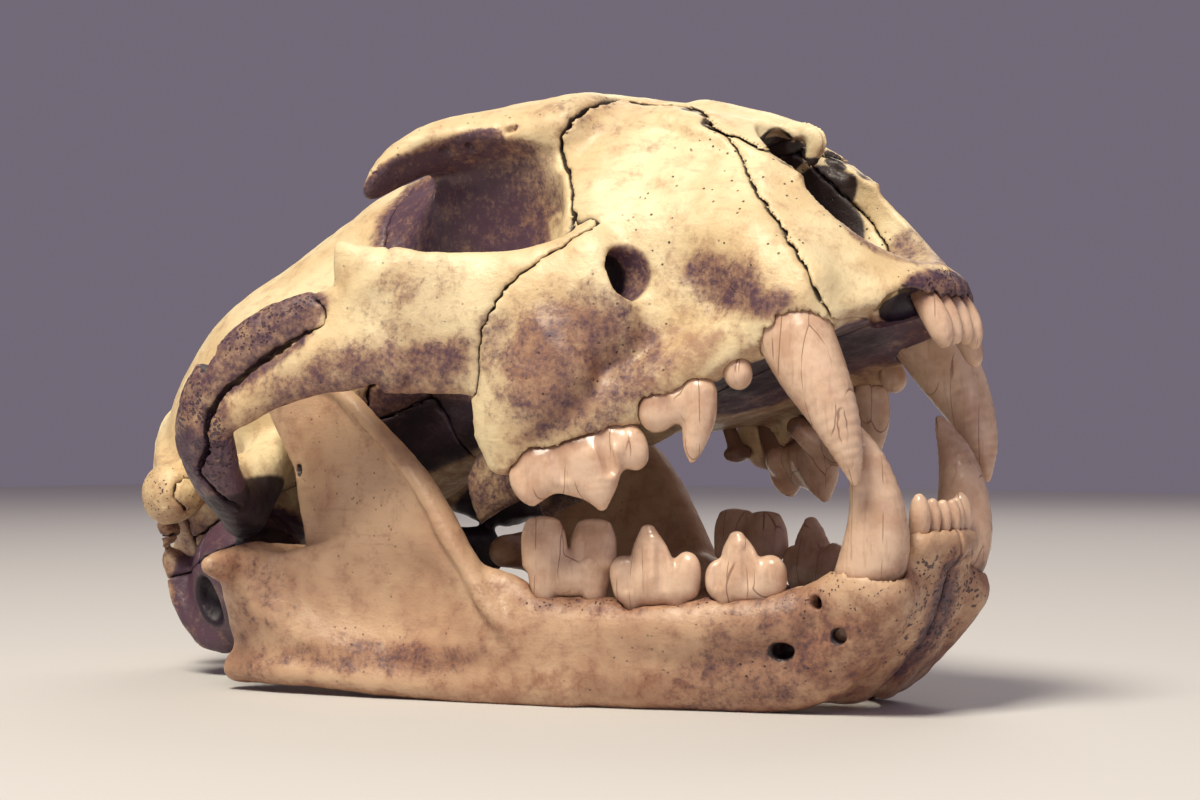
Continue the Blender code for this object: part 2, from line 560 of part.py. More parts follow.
def lower_incisor_3():
    return [strap([(129.8, 6.4, 33, 1.1, 1.4), (131.3, 6.9, 39, 1.7, 2), (131.4, 6.9, 41.6, 1.4, 1.6),
                   (131.4, 6.9, 42.6, 1, 1)])]


def lower_incisor_2():
    return [strap([(130, 4, 33, 0.8, 1.6), (132, 4, 39, 1, 1.7), (132.2, 4, 41.8, 0.9, 1)])]


def lower_incisor_1():
    return [strap([(130.6, 1.6, 33, 0.9, 1.6), (132.6, 1.6, 39, 1, 1.7), (132.8, 1.6, 41.5, 0.9, 1)])]


# each tooth's shapes, how softly they blend, and its number of faces
TEETH = {
    "upper_canine": (upper_canine, 0.5, 80), "upper_premolar_2": (upper_premolar_2, 1, 36),
    "upper_premolar_3": (upper_premolar_3, 1.5, 60), "upper_carnassial": (upper_carnassial, 1.6, 88),
    "upper_molar": (upper_molar, 0.8, 32), "upper_incisor_3": (upper_incisor_3, 0.3, 34),
    "upper_incisor_2": (upper_incisor_2, 0.3, 28), "upper_incisor_1": (upper_incisor_1, 0.3, 28),
    "lower_canine": (lower_canine, 0.5, 80), "lower_premolar_3": (lower_premolar_3, 1.3, 56),
    "lower_premolar_4": (lower_premolar_4, 1.4, 60), "lower_carnassial": (lower_carnassial, 1.3, 72),
    "lower_incisor_3": (lower_incisor_3, 0.3, 28), "lower_incisor_2": (lower_incisor_2, 0.3, 26),
    "lower_incisor_1": (lower_incisor_1, 0.3, 26),
}
MISSING_TOOTH = "upper_incisor_3_right"


def tooth_clay(shapes, soft):
    low = np.min([shape[0] for shape in shapes], axis=0) - 2
    high = np.max([shape[1] for shape in shapes], axis=0) + 2
    clay = Clay(low, high, TOOTH_GRAIN)
    for shape in shapes:
        clay.add(shape, soft)
    return clay


# ---------------------------------------------------------------- bones, parted at their sutures

SUTURES = {
    # side-view outlines (x, z) of the left bones, with the reach across (y), in the order they are parted
    "jugal": ([(145, 42), (141.6, 31), (133.4, 28.1), (127.5, 25), (123.4, 21.8), (120.9, 18),
               (119.1, 14), (117.1, 9.1), (111.4, 10.8), (100, 4), (60, 4), (60, 15), (66, 18.6),
               (69, 22.8), (73.8, 25.9), (80.8, 28.1), (87.1, 29.6), (95.1, 30.5), (96, 33),
               (94, 37), (92, 50), (112, 50)], 29, 75),
    "temporal": ([(27, 7), (29, 22), (37, 36), (50, 41), (63, 38), (71, 30), (84, 46), (104, 46),
                  (104, 2), (62, -12), (41, -12), (41, 7)], 22, 75),
    "bulla": ([(10, -25), (12, 7), (49, 7), (49, -25)], 8, 45),
    "frontal": ([(84, 85), (137, 85), (139.5, 58.5), (136.6, 54.6), (133.7, 52.7), (133, 49),
                 (135.5, 41.6), (136.3, 36), (136, 31), (84, 31)], 0.15, 45),
    "premaxilla": ([(158, 46), (163.5, 40.5), (167.2, 30.7), (170.8, 23.3), (174.5, 15), (177, 8.5),
                    (177.3, 0), (177.3, -12), (200, -12), (200, 60), (158, 60)], 0.15, 45),
    "palatine": ([(82, 32), (124, 32), (117, 12), (110, 5), (110, -20), (82, -20)], 0.15, 33),
    "maxilla": ([(90, 72), (178, 72), (178, -18), (90, -18)], 0.15, 70),
}
NASAL_HALF = {126: 4, 140: 8, 155: 11.5, 166: 13.5, 180: 13.5}
NASAL_DEPTH = (26, 80)
MIDLINE_BONES = {
    "occipital": [(-12, -25), (12, -25), (14, 8), (21, 24), (16, 38), (12, 60), (-12, 60)],
    "skull_base": [(0, -30), (0, 14), (40, 17), (90, 23), (90, -30)],
}


def nasal_block(both_sides, collection):
    edge = list(NASAL_HALF.items())
    inner = [(x, -half) for x, half in edge[::-1]] if both_sides else [(x, SUTURE / 2) for x in (180, 126)]
    block = prism("nasal_block", edge + inner, *NASAL_DEPTH, SUTURE * both_sides, collection)
    swap = Matrix(((1, 0, 0, 0), (0, 0, 1, 0), (0, 1, 0, 0), (0, 0, 0, 1)))
    block.data.transform(swap)
    block.data.flip_normals()
    return block


def part_pair(body, name, block, rooms, parts, solver="EXACT"):
    """Takes the left bone out of the body, mirrors it, and leaves the suture's gap round both."""
    left = new_object(name + "_left", body.data.copy(), parts)
    combine(left, block, "INTERSECT", solver)
    right = mirrored(left, name + "_right", parts)
    for room in rooms:
        combine(body, room, "DIFFERENCE", solver)
    remove([block] + rooms)
    return [left, right]


def drop_crumbs(item):
    """Keeps only the largest closed piece of a bone."""
    shape = bmesh.new()
    shape.from_mesh(item.data)
    left = set(shape.verts)
    groups = []
    while left:
        stack = [left.pop()]
        group = set(stack)
        while stack:
            for edge in stack.pop().link_edges:
                for vert in edge.verts:
                    if vert in left:
                        left.discard(vert)
                        group.add(vert)
                        stack.append(vert)
        groups.append(group)
    groups.sort(key=len)
    crumbs = [vert for group in groups[:-1] for vert in group]
    bmesh.ops.delete(shape, geom=crumbs, context="VERTS")
    shape.to_mesh(item.data)
    shape.free()


def build_teeth(jaw, collection):
    teeth = []
    for name, (shapes, soft, faces) in TEETH.items():
        if name.startswith(jaw):
            teeth.append(solid_from(name + "_left", tooth_clay(shapes(), soft), faces, collection))
    return teeth


def add_right_teeth(teeth, collection):
    for tooth in list(teeth):
        name = tooth.name.replace("_left", "_right")
        if name != MISSING_TOOTH:
            teeth.append(mirrored(tooth, name, collection))


def cut_sockets(body, teeth, cutters, both_sides):
    for tooth in teeth:
        room = swell(tooth, SUTURE, cutters)
        combine(body, room, "DIFFERENCE")
        if both_sides:
            other = mirrored(room, "other_room", cutters)
            combine(body, other, "DIFFERENCE")
            remove([other])
        remove([room])


def build_cranium(parts, cutters):
    teeth = build_teeth("upper", parts)
    body = solid_from("parietal", cranium_clay(BONE_GRAIN), CRANIUM_FACES, parts, both_sides=True)
    cut_sockets(body, teeth, cutters, True)
    bones = []
    for name, (outline, y_low, y_high) in SUTURES.items():
        if name == "premaxilla":
            blocks = [nasal_block(both, cutters) for both in (False, True)]
            bones += part_pair(body, "nasal", blocks[0], blocks[1:], parts, "MANIFOLD")
        block = prism(name + "_block", outline, y_low, y_high, 0, cutters)
        if y_low < SUTURE:
            rooms = [prism(name + "_room", outline, -y_high, y_high, SUTURE, cutters)]
        else:
            rooms = [prism(name + "_room", outline, y_low, y_high, SUTURE, cutters)]
            rooms.append(mirrored(rooms[0], name + "_room_right", cutters))
        bones += part_pair(body, name, block, rooms, parts)
    for name, outline in MIDLINE_BONES.items():
        block = prism(name + "_block", outline, -60, 60, 0, cutters)
        room = prism(name + "_room", outline, -60, 60, SUTURE, cutters)
        bone = new_object(name, body.data.copy(), parts)
        combine(bone, block, "INTERSECT")
        combine(body, room, "DIFFERENCE")
        remove([block, room])
        bones.append(bone)
    bones.append(body)
    for bone in bones:
        drop_crumbs(bone)
    add_right_teeth(teeth, parts)
    return bones, teeth


def build_jaw(parts, cutters):
    teeth = build_teeth("lower", parts)
    left = solid_from("jaw_left", jaw_clay(BONE_GRAIN), JAW_FACES, parts)
    cut_sockets(left, teeth, cutters, False)
    bpy.ops.mesh.primitive_cube_add(size=1)
    ground = bpy.context.object
    ground.scale = (0.3, 0.2, 0.02)
    ground.location = (0.06, 0.03, (FLAT_HEIGHT - 10) * MM)
    bpy.context.view_layer.update()
    ground.data.transform(jaw_matrix().inverted() @ ground.matrix_world)
    ground.matrix_world = Matrix()
    combine(left, ground, "DIFFERENCE")
    remove([ground])
    drop_crumbs(left)
    bones = [left, mirrored(left, "jaw_right", parts)]
    add_right_teeth(teeth, parts)
    return bones, teeth


# ---------------------------------------------------------------- finish and placing

def material(name, colour, roughness):
    made = bpy.data.materials.new(name)
    made.use_nodes = True
    shader = made.node_tree.nodes["Principled BSDF"]
    shader.inputs["Base Color"].default_value = colour
    shader.inputs["Roughness"].default_value = roughness
    shader.inputs["Metallic"].default_value = 0
    made.diffuse_color = colour
    return made


def frame_empty(name, place, tilt, root, collection):
    empty = bpy.data.objects.new(name, None)
    collection.objects.link(empty)
    empty.location = [value * MM for value in place]
    empty.rotation_euler = (0, -tilt, 0)
    empty.parent = root
    return empty


def jaw_matrix():
    x, y, z = JAW_PLACE
    return Matrix.Translation((x * MM, y * MM, z * MM)) @ Matrix.Rotation(-JAW_TILT, 4, "Y")


def main():
    for item in list(bpy.data.objects):
        bpy.data.objects.remove(item)
    parts = bpy.data.collections.new("leopard_skull")
    cutters = bpy.data.collections.new("cutters")
    for collection in (parts, cutters):
        bpy.context.scene.collection.children.link(collection)
    root = bpy.data.objects.new("skull", None)
    parts.objects.link(root)
    root.location = (-SKULL_CENTRE_X * MM, 0, -FLAT_HEIGHT * MM)
    cranium_frame = frame_empty("cranium_frame", CRANIUM_PLACE, CRANIUM_TILT, root, parts)
    jaw_frame = frame_empty("jaw_frame", JAW_PLACE, JAW_TILT, root, parts)
    cranium_bones, upper = build_cranium(parts, cutters)
    jaw_bones, lower = build_jaw(parts, cutters)
    for items, frame, colour, roughness in (
            (cranium_bones, cranium_frame, BONE_COLOUR, BONE_ROUGHNESS),
            (upper, cranium_frame, ENAMEL_COLOUR, ENAMEL_ROUGHNESS),
            (jaw_bones, jaw_frame, JAW_COLOUR, BONE_ROUGHNESS),
            (lower, jaw_frame, ENAMEL_COLOUR, ENAMEL_ROUGHNESS)):
        for item in items:
            item.parent = frame
            item.data.materials.clear()
            item.data.materials.append(material(item.name, colour, roughness))


main()
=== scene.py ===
import itertools
import bpy
import numpy as np
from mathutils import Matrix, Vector


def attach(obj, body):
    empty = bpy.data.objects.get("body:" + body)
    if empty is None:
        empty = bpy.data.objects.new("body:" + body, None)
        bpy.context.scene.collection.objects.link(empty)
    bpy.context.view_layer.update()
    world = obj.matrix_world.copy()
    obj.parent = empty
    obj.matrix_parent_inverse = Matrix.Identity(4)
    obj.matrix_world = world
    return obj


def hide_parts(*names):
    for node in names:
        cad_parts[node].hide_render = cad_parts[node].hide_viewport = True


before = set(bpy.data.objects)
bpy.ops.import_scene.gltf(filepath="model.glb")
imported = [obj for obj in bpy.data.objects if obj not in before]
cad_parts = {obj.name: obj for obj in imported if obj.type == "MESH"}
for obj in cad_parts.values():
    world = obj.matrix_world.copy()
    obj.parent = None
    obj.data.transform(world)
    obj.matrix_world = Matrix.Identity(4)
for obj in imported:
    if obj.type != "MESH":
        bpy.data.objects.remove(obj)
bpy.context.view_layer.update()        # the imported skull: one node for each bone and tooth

# Shapes are sculpted in millimetres as distance fields, left side first, then meshed bone by bone.
# The cranium and the jaw each have a frame of their own, as the solids do.

skull = {
    "centreX": 38.7,                        # middle of the skull, front to back
    "flat": 0.5,                            # depth of the resting flats
    "cranium": (np.radians(19.8), (-46.3, 7.5)),
    "jaw": (np.radians(3.78), (0, -13.45)),
    "socket": 0.12,                         # space round each root
}
farAway = 40.0


def toWorld(points, part):
    tilt, (alongX, alongZ) = skull[part]
    x = points[:, 0] * np.cos(tilt) - points[:, 2] * np.sin(tilt) + alongX - skull["centreX"]
    z = points[:, 0] * np.sin(tilt) + points[:, 2] * np.cos(tilt) + alongZ - skull["flat"]
    return np.stack([x, points[:, 1], np.maximum(z, 0)], axis=1) / 1000      # the jaw's lower edge rests flat


# soft shapes

def softMin(a, b, soft):
    mix = np.clip(0.5 + 0.5 * (b - a) / soft, 0, 1)
    return b + (a - b) * mix - soft * mix * (1 - mix)


def softMax(a, b, soft):
    return -softMin(-a, -b, soft)


def smoothPath(rows, steps):
    rows = np.asarray(rows, float)
    rows = np.vstack([2 * rows[0] - rows[1], rows, 2 * rows[-1] - rows[-2]])
    t = np.linspace(0, 1, steps, endpoint=False)[:, None]
    pieces = []
    for a, b, c, d in zip(rows[:-3], rows[1:-2], rows[2:-1], rows[3:]):
        bend = (2 * a - 5 * b + 4 * c - d) * t**2 + (3 * b - a - 3 * c + d) * t**3
        pieces.append(0.5 * (2 * b + (c - a) * t + bend))
    return np.vstack(pieces + [rows[-2][None]])


def turned(degrees):
    x, y, z = np.radians(degrees)
    aboutX = np.array([[1, 0, 0], [0, np.cos(x), -np.sin(x)], [0, np.sin(x), np.cos(x)]])
    aboutY = np.array([[np.cos(y), 0, np.sin(y)], [0, 1, 0], [-np.sin(y), 0, np.cos(y)]])
    aboutZ = np.array([[np.cos(z), -np.sin(z), 0], [np.sin(z), np.cos(z), 0], [0, 0, 1]])
    return aboutZ @ aboutY @ aboutX


def ovalDistance(local, radii):
    near = np.sqrt(sum((q / r)**2 for q, r in zip(local, radii)))
    slope = np.sqrt(sum((q / r**2)**2 for q, r in zip(local, radii)))
    return near * (near - 1) / np.maximum(slope, 1e-6)


def egg(centre, radii, turn=(0, 0, 0)):
    centre, radii, axes = np.array(centre, float), np.array(radii, float), turned(turn)
    reach = np.abs(axes) @ radii

    def distance(*xyz):
        local = [sum(axes[k, i] * (xyz[k] - centre[k]) for k in range(3)) for i in range(3)]
        return ovalDistance(local, radii)

    return centre - reach, centre + reach, distance


def strap(rows, side=(0, 1, 0), steps=4):
    # rows are x, y, z, half thickness along side and half width across it
    rows = smoothPath(rows, steps)
    path, thick, wide = rows[:, :3], rows[:, 3], rows[:, 4]
    side = np.array(side, float)
    reach = np.maximum(thick, wide).max()
    about = 10 + np.maximum(thick, wide)

    def distance(*xyz):
        lines = [line.ravel() for line in xyz]
        nearest = np.full([len(line) for line in lines], farAway, np.float32)
        for i in range(len(path) - 1):
            low = np.minimum(path[i], path[i + 1]) - about[i]
            high = np.maximum(path[i], path[i + 1]) + about[i]
            spans = [slice(*np.searchsorted(lines[k], (low[k], high[k]))) for k in range(3)]
            x, y, z = xyz[0][spans[0]], xyz[1][:, spans[1]], xyz[2][:, :, spans[2]]
            if not (x.size and y.size and z.size):
                continue
            along = path[i + 1] - path[i]
            length = np.linalg.norm(along)
            along = along / length
            out = side - (side @ along) * along
            out = out / np.linalg.norm(out)
            x, y, z = x - path[i, 0], y - path[i, 1], z - path[i, 2]
            run, u, v = [axis[0] * x + axis[1] * y + axis[2] * z for axis in (along, out, np.cross(along, out))]
            t = np.clip(run / length, 0, 1)
            over = run - t * length
            halfU = thick[i] + (thick[i + 1] - thick[i]) * t
            halfV = wide[i] + (wide[i + 1] - wide[i]) * t
            gap = ovalDistance((u, v, over), (halfU, halfV, np.minimum(halfU, halfV)))
            nearest[tuple(spans)] = np.minimum(nearest[tuple(spans)], gap)
        return nearest

    return path.min(0) - reach, path.max(0) + reach, distance


def peg(start, end, startRadius, endRadius):
    return strap([(*start, startRadius, startRadius), (*end, endRadius, endRadius)], (0.3, 1, 0.2), 1)


def between(table, base, share):
    # the table's value between eight neighbours
    total = 0
    for corner in itertools.product((0, 1), repeat=3):
        x, y, z = ((base + corner) % table.shape).T
        total = total + np.prod(np.where(corner, share, 1 - share), axis=1) * table[x, y, z]
    return total


def noise(points, size, seed):
    # smooth random values from -1 to 1, about one bump to each size
    table = np.random.default_rng(seed).uniform(-1, 1, (32, 32, 32)).astype(np.float32)
    base = np.floor(points / size).astype(int)
    share = points / size - base
    return between(table, base, share * share * (3 - 2 * share))


class Clay:
    # a block of grid points that shapes are added to and carved from

    def __init__(self, low, high, grain):
        self.low, self.grain = np.array(low, float), grain
        counts = np.ceil((np.array(high, float) - self.low) / grain).astype(int) + 1
        self.lines = [(self.low[k] + grain * np.arange(counts[k])).astype(np.float32) for k in range(3)]
        self.field = np.full(counts, farAway, np.float32)

    def window(self, low, high):
        cut = tuple(slice(*np.searchsorted(self.lines[k], (low[k], high[k]))) for k in range(3))
        x, y, z = (self.lines[k][cut[k]] for k in range(3))
        return cut, (x[:, None, None], y[None, :, None], z[None, None, :])

    def blend(self, shape, soft, carving):
        low, high, distance = shape
        cut, xyz = self.window(low - soft - 2, high + soft + 2)
        if 0 not in self.field[cut].shape:
            mix, sign = (softMax, -1) if carving else (softMin, 1)
            self.field[cut] = mix(self.field[cut], sign * distance(*xyz), soft)

    def add(self, shape, soft=3.0):
        self.blend(shape, soft, False)

    def carve(self, shape, soft=2.0):
        self.blend(shape, soft, True)

    def places(self, chosen):
        # the numbers of the chosen grid points, and where they are
        band = np.nonzero(chosen)
        return band, np.stack([self.lines[k][band[k]] for k in range(3)], axis=1)


def besides(axis):
    # slices that set each grid point beside the next one
    first, second = [slice(None)] * 3, [slice(None)] * 3
    first[axis], second[axis] = slice(None, -1), slice(1, None)
    return first, second


def surfaceNet(field, low, grain):
    # a quad mesh of the field's zero surface
    counts = np.array(field.shape)
    cells = tuple(counts - 1)
    total, count = np.zeros(cells + (3,), np.float32), np.zeros(cells, np.int16)
    inside = field < 0
    for axis in range(3):
        first, second = besides(axis)
        a, b = field[tuple(first)], field[tuple(second)]
        crosses = inside[tuple(first)] != inside[tuple(second)]
        t = np.where(crosses, a / np.where(crosses, a - b, 1), 0).astype(np.float32)
        others = [k for k in range(3) if k != axis]
        for i, j in itertools.product((0, 1), repeat=2):
            cut = [slice(None)] * 3
            cut[others[0]] = slice(i, i + counts[others[0]] - 1)
            cut[others[1]] = slice(j, j + counts[others[1]] - 1)
            hit = crosses[tuple(cut)]
            count += hit
            total[..., axis] += np.where(hit, t[tuple(cut)], 0)
            total[..., others[0]] += np.where(hit, i, 0)
            total[..., others[1]] += np.where(hit, j, 0)
    active = count > 0
    number = -np.ones(cells, np.int64)
    number[active] = np.arange(active.sum())
    points = (np.argwhere(active) + total[active] / count[active][:, None]) * grain + low
    quads = []
    for axis in range(3):
        first, second = besides(axis)
        u, v = (axis + 1) % 3, (axis + 2) % 3
        for k in (u, v):
            first[k] = second[k] = slice(1, -1)
        starts = inside[tuple(first)]
        turns = starts != inside[tuple(second)]
        at = np.argwhere(turns)
        at[:, u] += 1
        at[:, v] += 1
        stepU, stepV = np.eye(3, dtype=int)[u], np.eye(3, dtype=int)[v]
        ring = np.stack([number[tuple(c.T)] for c in (at - stepU - stepV, at - stepV, at, at - stepU)], axis=1)
        outward = starts[turns]
        ring[~outward] = ring[~outward][:, ::-1]
        quads.append(ring)
    return points, np.vstack(quads)


def sample(field, low, grain, points):
    # the field's value between its grid points
    place = np.clip((points - low) / grain, 0, np.array(field.shape) - 1.001)
    base = place.astype(int)
    return between(field, base, place - base)


def slopeOf(field, low, grain, points):
    step = 0.6 * grain
    slope = [sample(field, low, grain, points + s) - sample(field, low, grain, points - s) for s in np.eye(3) * step]
    return np.stack(slope, axis=1) / (2 * step)


evening = {"rounds": 2, "share": 0.5, "step": 0.8, "slope": 0.6, "gentlest": 0.2}


def relax(points, quads, field, low, grain):
    # evens out the mesh, then sets it back on the surface
    edges = np.vstack([quads[:, (i, (i + 1) % 4)] for i in range(4)])
    count = np.bincount(edges.ravel(), minlength=len(points))[:, None]
    for _ in range(evening["rounds"]):
        around = np.zeros_like(points)
        for k in range(3):
            around[:, k] = (np.bincount(edges[:, 0], points[edges[:, 1], k], len(points))
                            + np.bincount(edges[:, 1], points[edges[:, 0], k], len(points)))
        points = (1 - evening["share"]) * points + evening["share"] * around / count
        value = sample(field, low, grain, points)[:, None]
        slope = slopeOf(field, low, grain, points)
        steep = np.maximum((slope**2).sum(1, keepdims=True), evening["gentlest"])
        points = points - np.clip(value / steep, -grain, grain) * slope * evening["step"]
    return points


def keepLargest(points, quads):
    labels = np.arange(len(points))
    a, b = quads[:, (0, 1, 2)].ravel(), quads[:, (1, 2, 3)].ravel()
    while True:
        low = np.minimum(labels[a], labels[b])
        before = labels.copy()
        np.minimum.at(labels, a, low)
        np.minimum.at(labels, b, low)
        labels = labels[labels]
        if np.array_equal(labels, before):
            break
    kept = labels == np.bincount(labels).argmax()
    number = np.cumsum(kept) - 1
    return points[kept], number[quads[kept[quads[:, 0]]]]


def boxBlur(values, reach):
    for axis in range(3):
        pad = [(0, 0)] * 3
        pad[axis] = (reach + 1, reach)
        run = np.cumsum(np.pad(values, pad, mode="edge"), axis=axis, dtype=np.float32)
        count = values.shape[axis]
        ahead = run.take(range(2 * reach + 1, 2 * reach + 1 + count), axis)
        values = (ahead - run.take(range(count), axis)) / (2 * reach + 1)
    return values


def crowding(clay, reach):
    # how much solid lies around each place: a half on a flat, more in a hollow, less on an edge
    solid = np.clip(0.5 - clay.field / clay.grain, 0, 1)
    steps = max(1, round(reach / clay.grain / 2))
    return boxBlur(boxBlur(solid, steps), steps)


# the cranium, left half

faceForm = {
    "stations": [100, 112, 122, 132, 141, 150, 160, 170, 177, 183, 187, 190],
    "gum": [30, 33, 35, 34, 31, 28, 26.5, 26.0, 22.0, 15.5, 10.5, 5],
    "waist": [16, 18, 24, 30, 30.5, 27.0, 24.0, 22.0, 18.5, 14.0, 9.5, 4],
    "top": [21, 19, 18, 17.5, 16.5, 14.5, 13.5, 13.0, 13, 11, 8, 3],
    "roof": [66, 66.5, 65.5, 63, 59.5, 54.7, 48.4, 41.0, 27.5, 15.5, 9, 6],
    "floor": [8, 4, 2, 1, 1, 1, 1, 1, 1, 1, 1, 1],
    "front": 190.5,
}


def faceBlock():
    stations = faceForm["stations"]

    def distance(x, y, z):
        gum, waist, top, roof, floor = (
            np.interp(x, stations, faceForm[key]) for key in ("gum", "waist", "top", "roof", "floor"))
        height = np.clip((z - floor) / np.maximum(roof - floor, 1), 0, 1)
        lower = np.clip(height / 0.45, 0, 1)
        upper = np.clip((height - 0.45) / 0.55, 0, 1)
        half = gum + (waist - gum) * lower**2 * (3 - 2 * lower) + (top - waist) * upper**2 * (3 - 2 * upper)
        skin = softMax((y - half) * 0.92, (z - roof + 0.012 * y * y) * 0.85, 9)
        skin = softMax(skin, floor - z, 2)
        return softMax(skin, np.maximum(stations[0] - x, x - faceForm["front"]), 3)

    return np.array([98.0, 0, -3]), np.array([193.0, 42, 75]), distance


def addBraincase(clay):
    clay.add(egg((50, 0, 35), (38, 32, 27)), 0.1)
    clay.add(egg((74, 0, 42), (32, 22, 24.5)), 8)
    clay.add(egg((30, 0, 30), (19, 28.5, 20)), 8)
    clay.add(egg((110, 0, 49), (30, 20, 18)), 6)
    clay.add(egg((118, 0, 34), (30, 16, 32)), 5)
    crest = [(97, 0, 62.5, 6, 4.5), (84, 0, 64, 4.5, 4), (75, 0, 65, 3, 3.6), (67, 0, 65.3, 1.8, 3.2),
             (56, 0, 62.5, 1.5, 3), (45, 0, 60, 1.5, 3), (32, 0, 56, 1.5, 3), (20, 0, 50.5, 1.5, 3),
             (11, 0, 45.5, 2, 3)]
    clay.add(strap(crest), 4)


def addOcciput(clay):
    clay.add(egg((16.5, 0, 26.5), (8.5, 26.5, 17.5)), 5)
    crest = [(10.5, 0, 45.5, 1.8, 3.2), (13, 11, 42.5, 1.8, 3.4), (18.5, 20.5, 34.5, 1.8, 3.4),
             (23, 28, 27, 2, 3.6), (26, 31, 21, 3.6, 4.5)]
    clay.add(strap(crest, (1, 0.2, 0.3)), 4)
    clay.add(egg((24.4, 32, 22.2), (6, 4.8, 6)), 2.5)                     # mastoid knob
    clay.add(egg((8, 12, 12), (6.5, 6.5, 8.5), (25, 0, 20)), 3)             # condyle
    process = [(17.5, 28.5, 17, 2.4, 3), (14.2, 28, 13.8, 1.9, 1.6), (17.2, 27.2, 9.5, 2, 3),
               (17.6, 26.6, 2, 2.2, 4), (19.6, 26, -5, 2.4, 3.5), (24, 25.5, -8.5, 2.4, 3)]
    clay.add(strap(process, (1, 0.3, 0)), 2.5)


def addSkullBase(clay):
    clay.add(strap([(12, 0, 15, 20, 6), (40, 0, 15, 17, 7), (80, 0, 16, 11, 8), (112, 0, 16, 12, 8)]), 5)
    clay.add(egg((30, 21.5, 2), (16, 11, 13.5), (0, 0, 22)), 2.5)           # ear bulla
    wing = [(112, 12, 8, 1.6, 8), (96, 10.5, 5, 1.5, 8), (84, 10, 1, 1.3, 5), (78, 10, -3, 1.2, 3)]
    clay.add(strap(wing), 2.5)


def addFace(clay):
    clay.add(faceBlock(), 5)
    brow = [(134, 15, 56.5, 5, 8), (120, 17.5, 60.5, 4.8, 9), (108, 24, 62.5, 4.6, 9),
            (102, 29.5, 60.6, 3.8, 6.5), (96.8, 34.2, 56.4, 2.2, 3)]
    clay.add(strap(brow, (0, 0.35, 1)), 5)
    toothRow = [(115, 37.6, 1.5, 2.2, 3.6), (122, 38.2, 0, 3.2, 6), (130, 35.4, 0, 3.6, 6),
                (138, 31.8, 0.5, 3.6, 5.5), (147, 28.8, 1.5, 3.6, 5), (157, 25.6, 3, 3.6, 4.5),
                (163, 22.6, 4, 3.6, 4.5)]
    clay.add(strap(toothRow), 3)
    canineRoot = [(171, 21, 6, 6.2, 8.5), (166, 20.5, 16, 5.4, 7), (156, 18.5, 27, 4, 5.5)]
    clay.add(strap(canineRoot), 5)
    clay.add(egg((183.5, 0, 4), (5.5, 13, 4.5)), 2)
    cheekRoot = [(132, 37.5, 12, 4.5, 9), (124, 40.5, 8, 4.2, 9), (118.5, 41.5, 2.5, 3.2, 6.5),
                 (116, 40.5, -3, 2.2, 3.5)]
    clay.add(strap(cheekRoot), 3)


def carveOrbitAndTemple(clay):
    clay.carve(egg((112, 36, 43), (24, 16, 18.5), (0, 0, -20)), 3)
    clay.carve(egg((80, 46, 36), (30, 20, 30), (0, 0, 6)), 4)


def addCheekArch(clay):
    jugal = [(141, 31, 20, 5, 12), (131.5, 35.5, 19.5, 4.5, 12), (122, 40, 21, 4, 12.5),
             (111, 45.4, 25, 3.2, 12.6), (104, 48.6, 27.8, 3, 12.8), (97, 51, 26, 3, 8.8),
             (92, 52.6, 25.5, 3, 7), (86, 54.4, 24.7, 3, 5.4), (80, 56.2, 24, 2.8, 4.6),
             (73, 58, 22.4, 2.5, 3.8), (66, 59.4, 19.6, 1.4, 1.4)]
    clay.add(strap(jugal), 3)
    clay.add(strap([(104, 48.6, 34, 2.8, 6), (102, 50, 40, 2.3, 3.6), (101.3, 50.6, 42.9, 1.4, 1.6)]), 3)
    temporal = [(97, 51, 34.8, 1.4, 1.2), (92, 52.6, 34.6, 2.4, 3.2), (86, 54.4, 34.2, 2.8, 4.4),
                (80, 56.2, 32.8, 3.2, 4.8), (73, 57.9, 30.3, 3.4, 5), (68, 58.3, 27.2, 3.5, 6),
                (64, 57.5, 22.5, 3.6, 7), (60.5, 55, 17.5, 3.8, 7.2), (57, 50.5, 13.8, 4.2, 7),
                (54, 44, 12.5, 4.6, 7.5), (51, 37, 13.5, 5, 8.5), (47, 27, 20, 5, 10)]
    clay.add(strap(temporal), 2)
    clay.add(strap([(45, 26, 1.5, 2.6, 5), (45, 36, 1.5, 2.4, 5)], (1, 0, 0)), 2.5)   # behind the jaw joint


def addNasalTips(clay):
    sideTip = [(152, 10.4, 50.3, 1.6, 4), (161, 12, 42.8, 1.3, 3), (168.6, 12.6, 35.2, 0.9, 1.8),
               (174.8, 12.6, 29.2, 0.6, 0.8)]
    clay.add(strap(sideTip, (0.4, 0.3, 1)), 2)
    middleTip = [(152, 0, 52.5, 1.8, 5), (160, 0, 47.5, 1.8, 4), (166, 0, 43.5, 1.7, 3.2),
                 (170.2, 0, 40.4, 1.5, 2.6)]
    clay.add(strap(middleTip, (0.5, 0, 1)), 1.5)
    clay.add(strap([(170.4, 0, 40.2, 1.5, 1.8), (171.8, 0, 38, 1.3, 2.2), (170.6, 0, 35.6, 1.1, 1.7),
                    (169.6, 0, 34, 0.8, 0.9)]), 0.8)


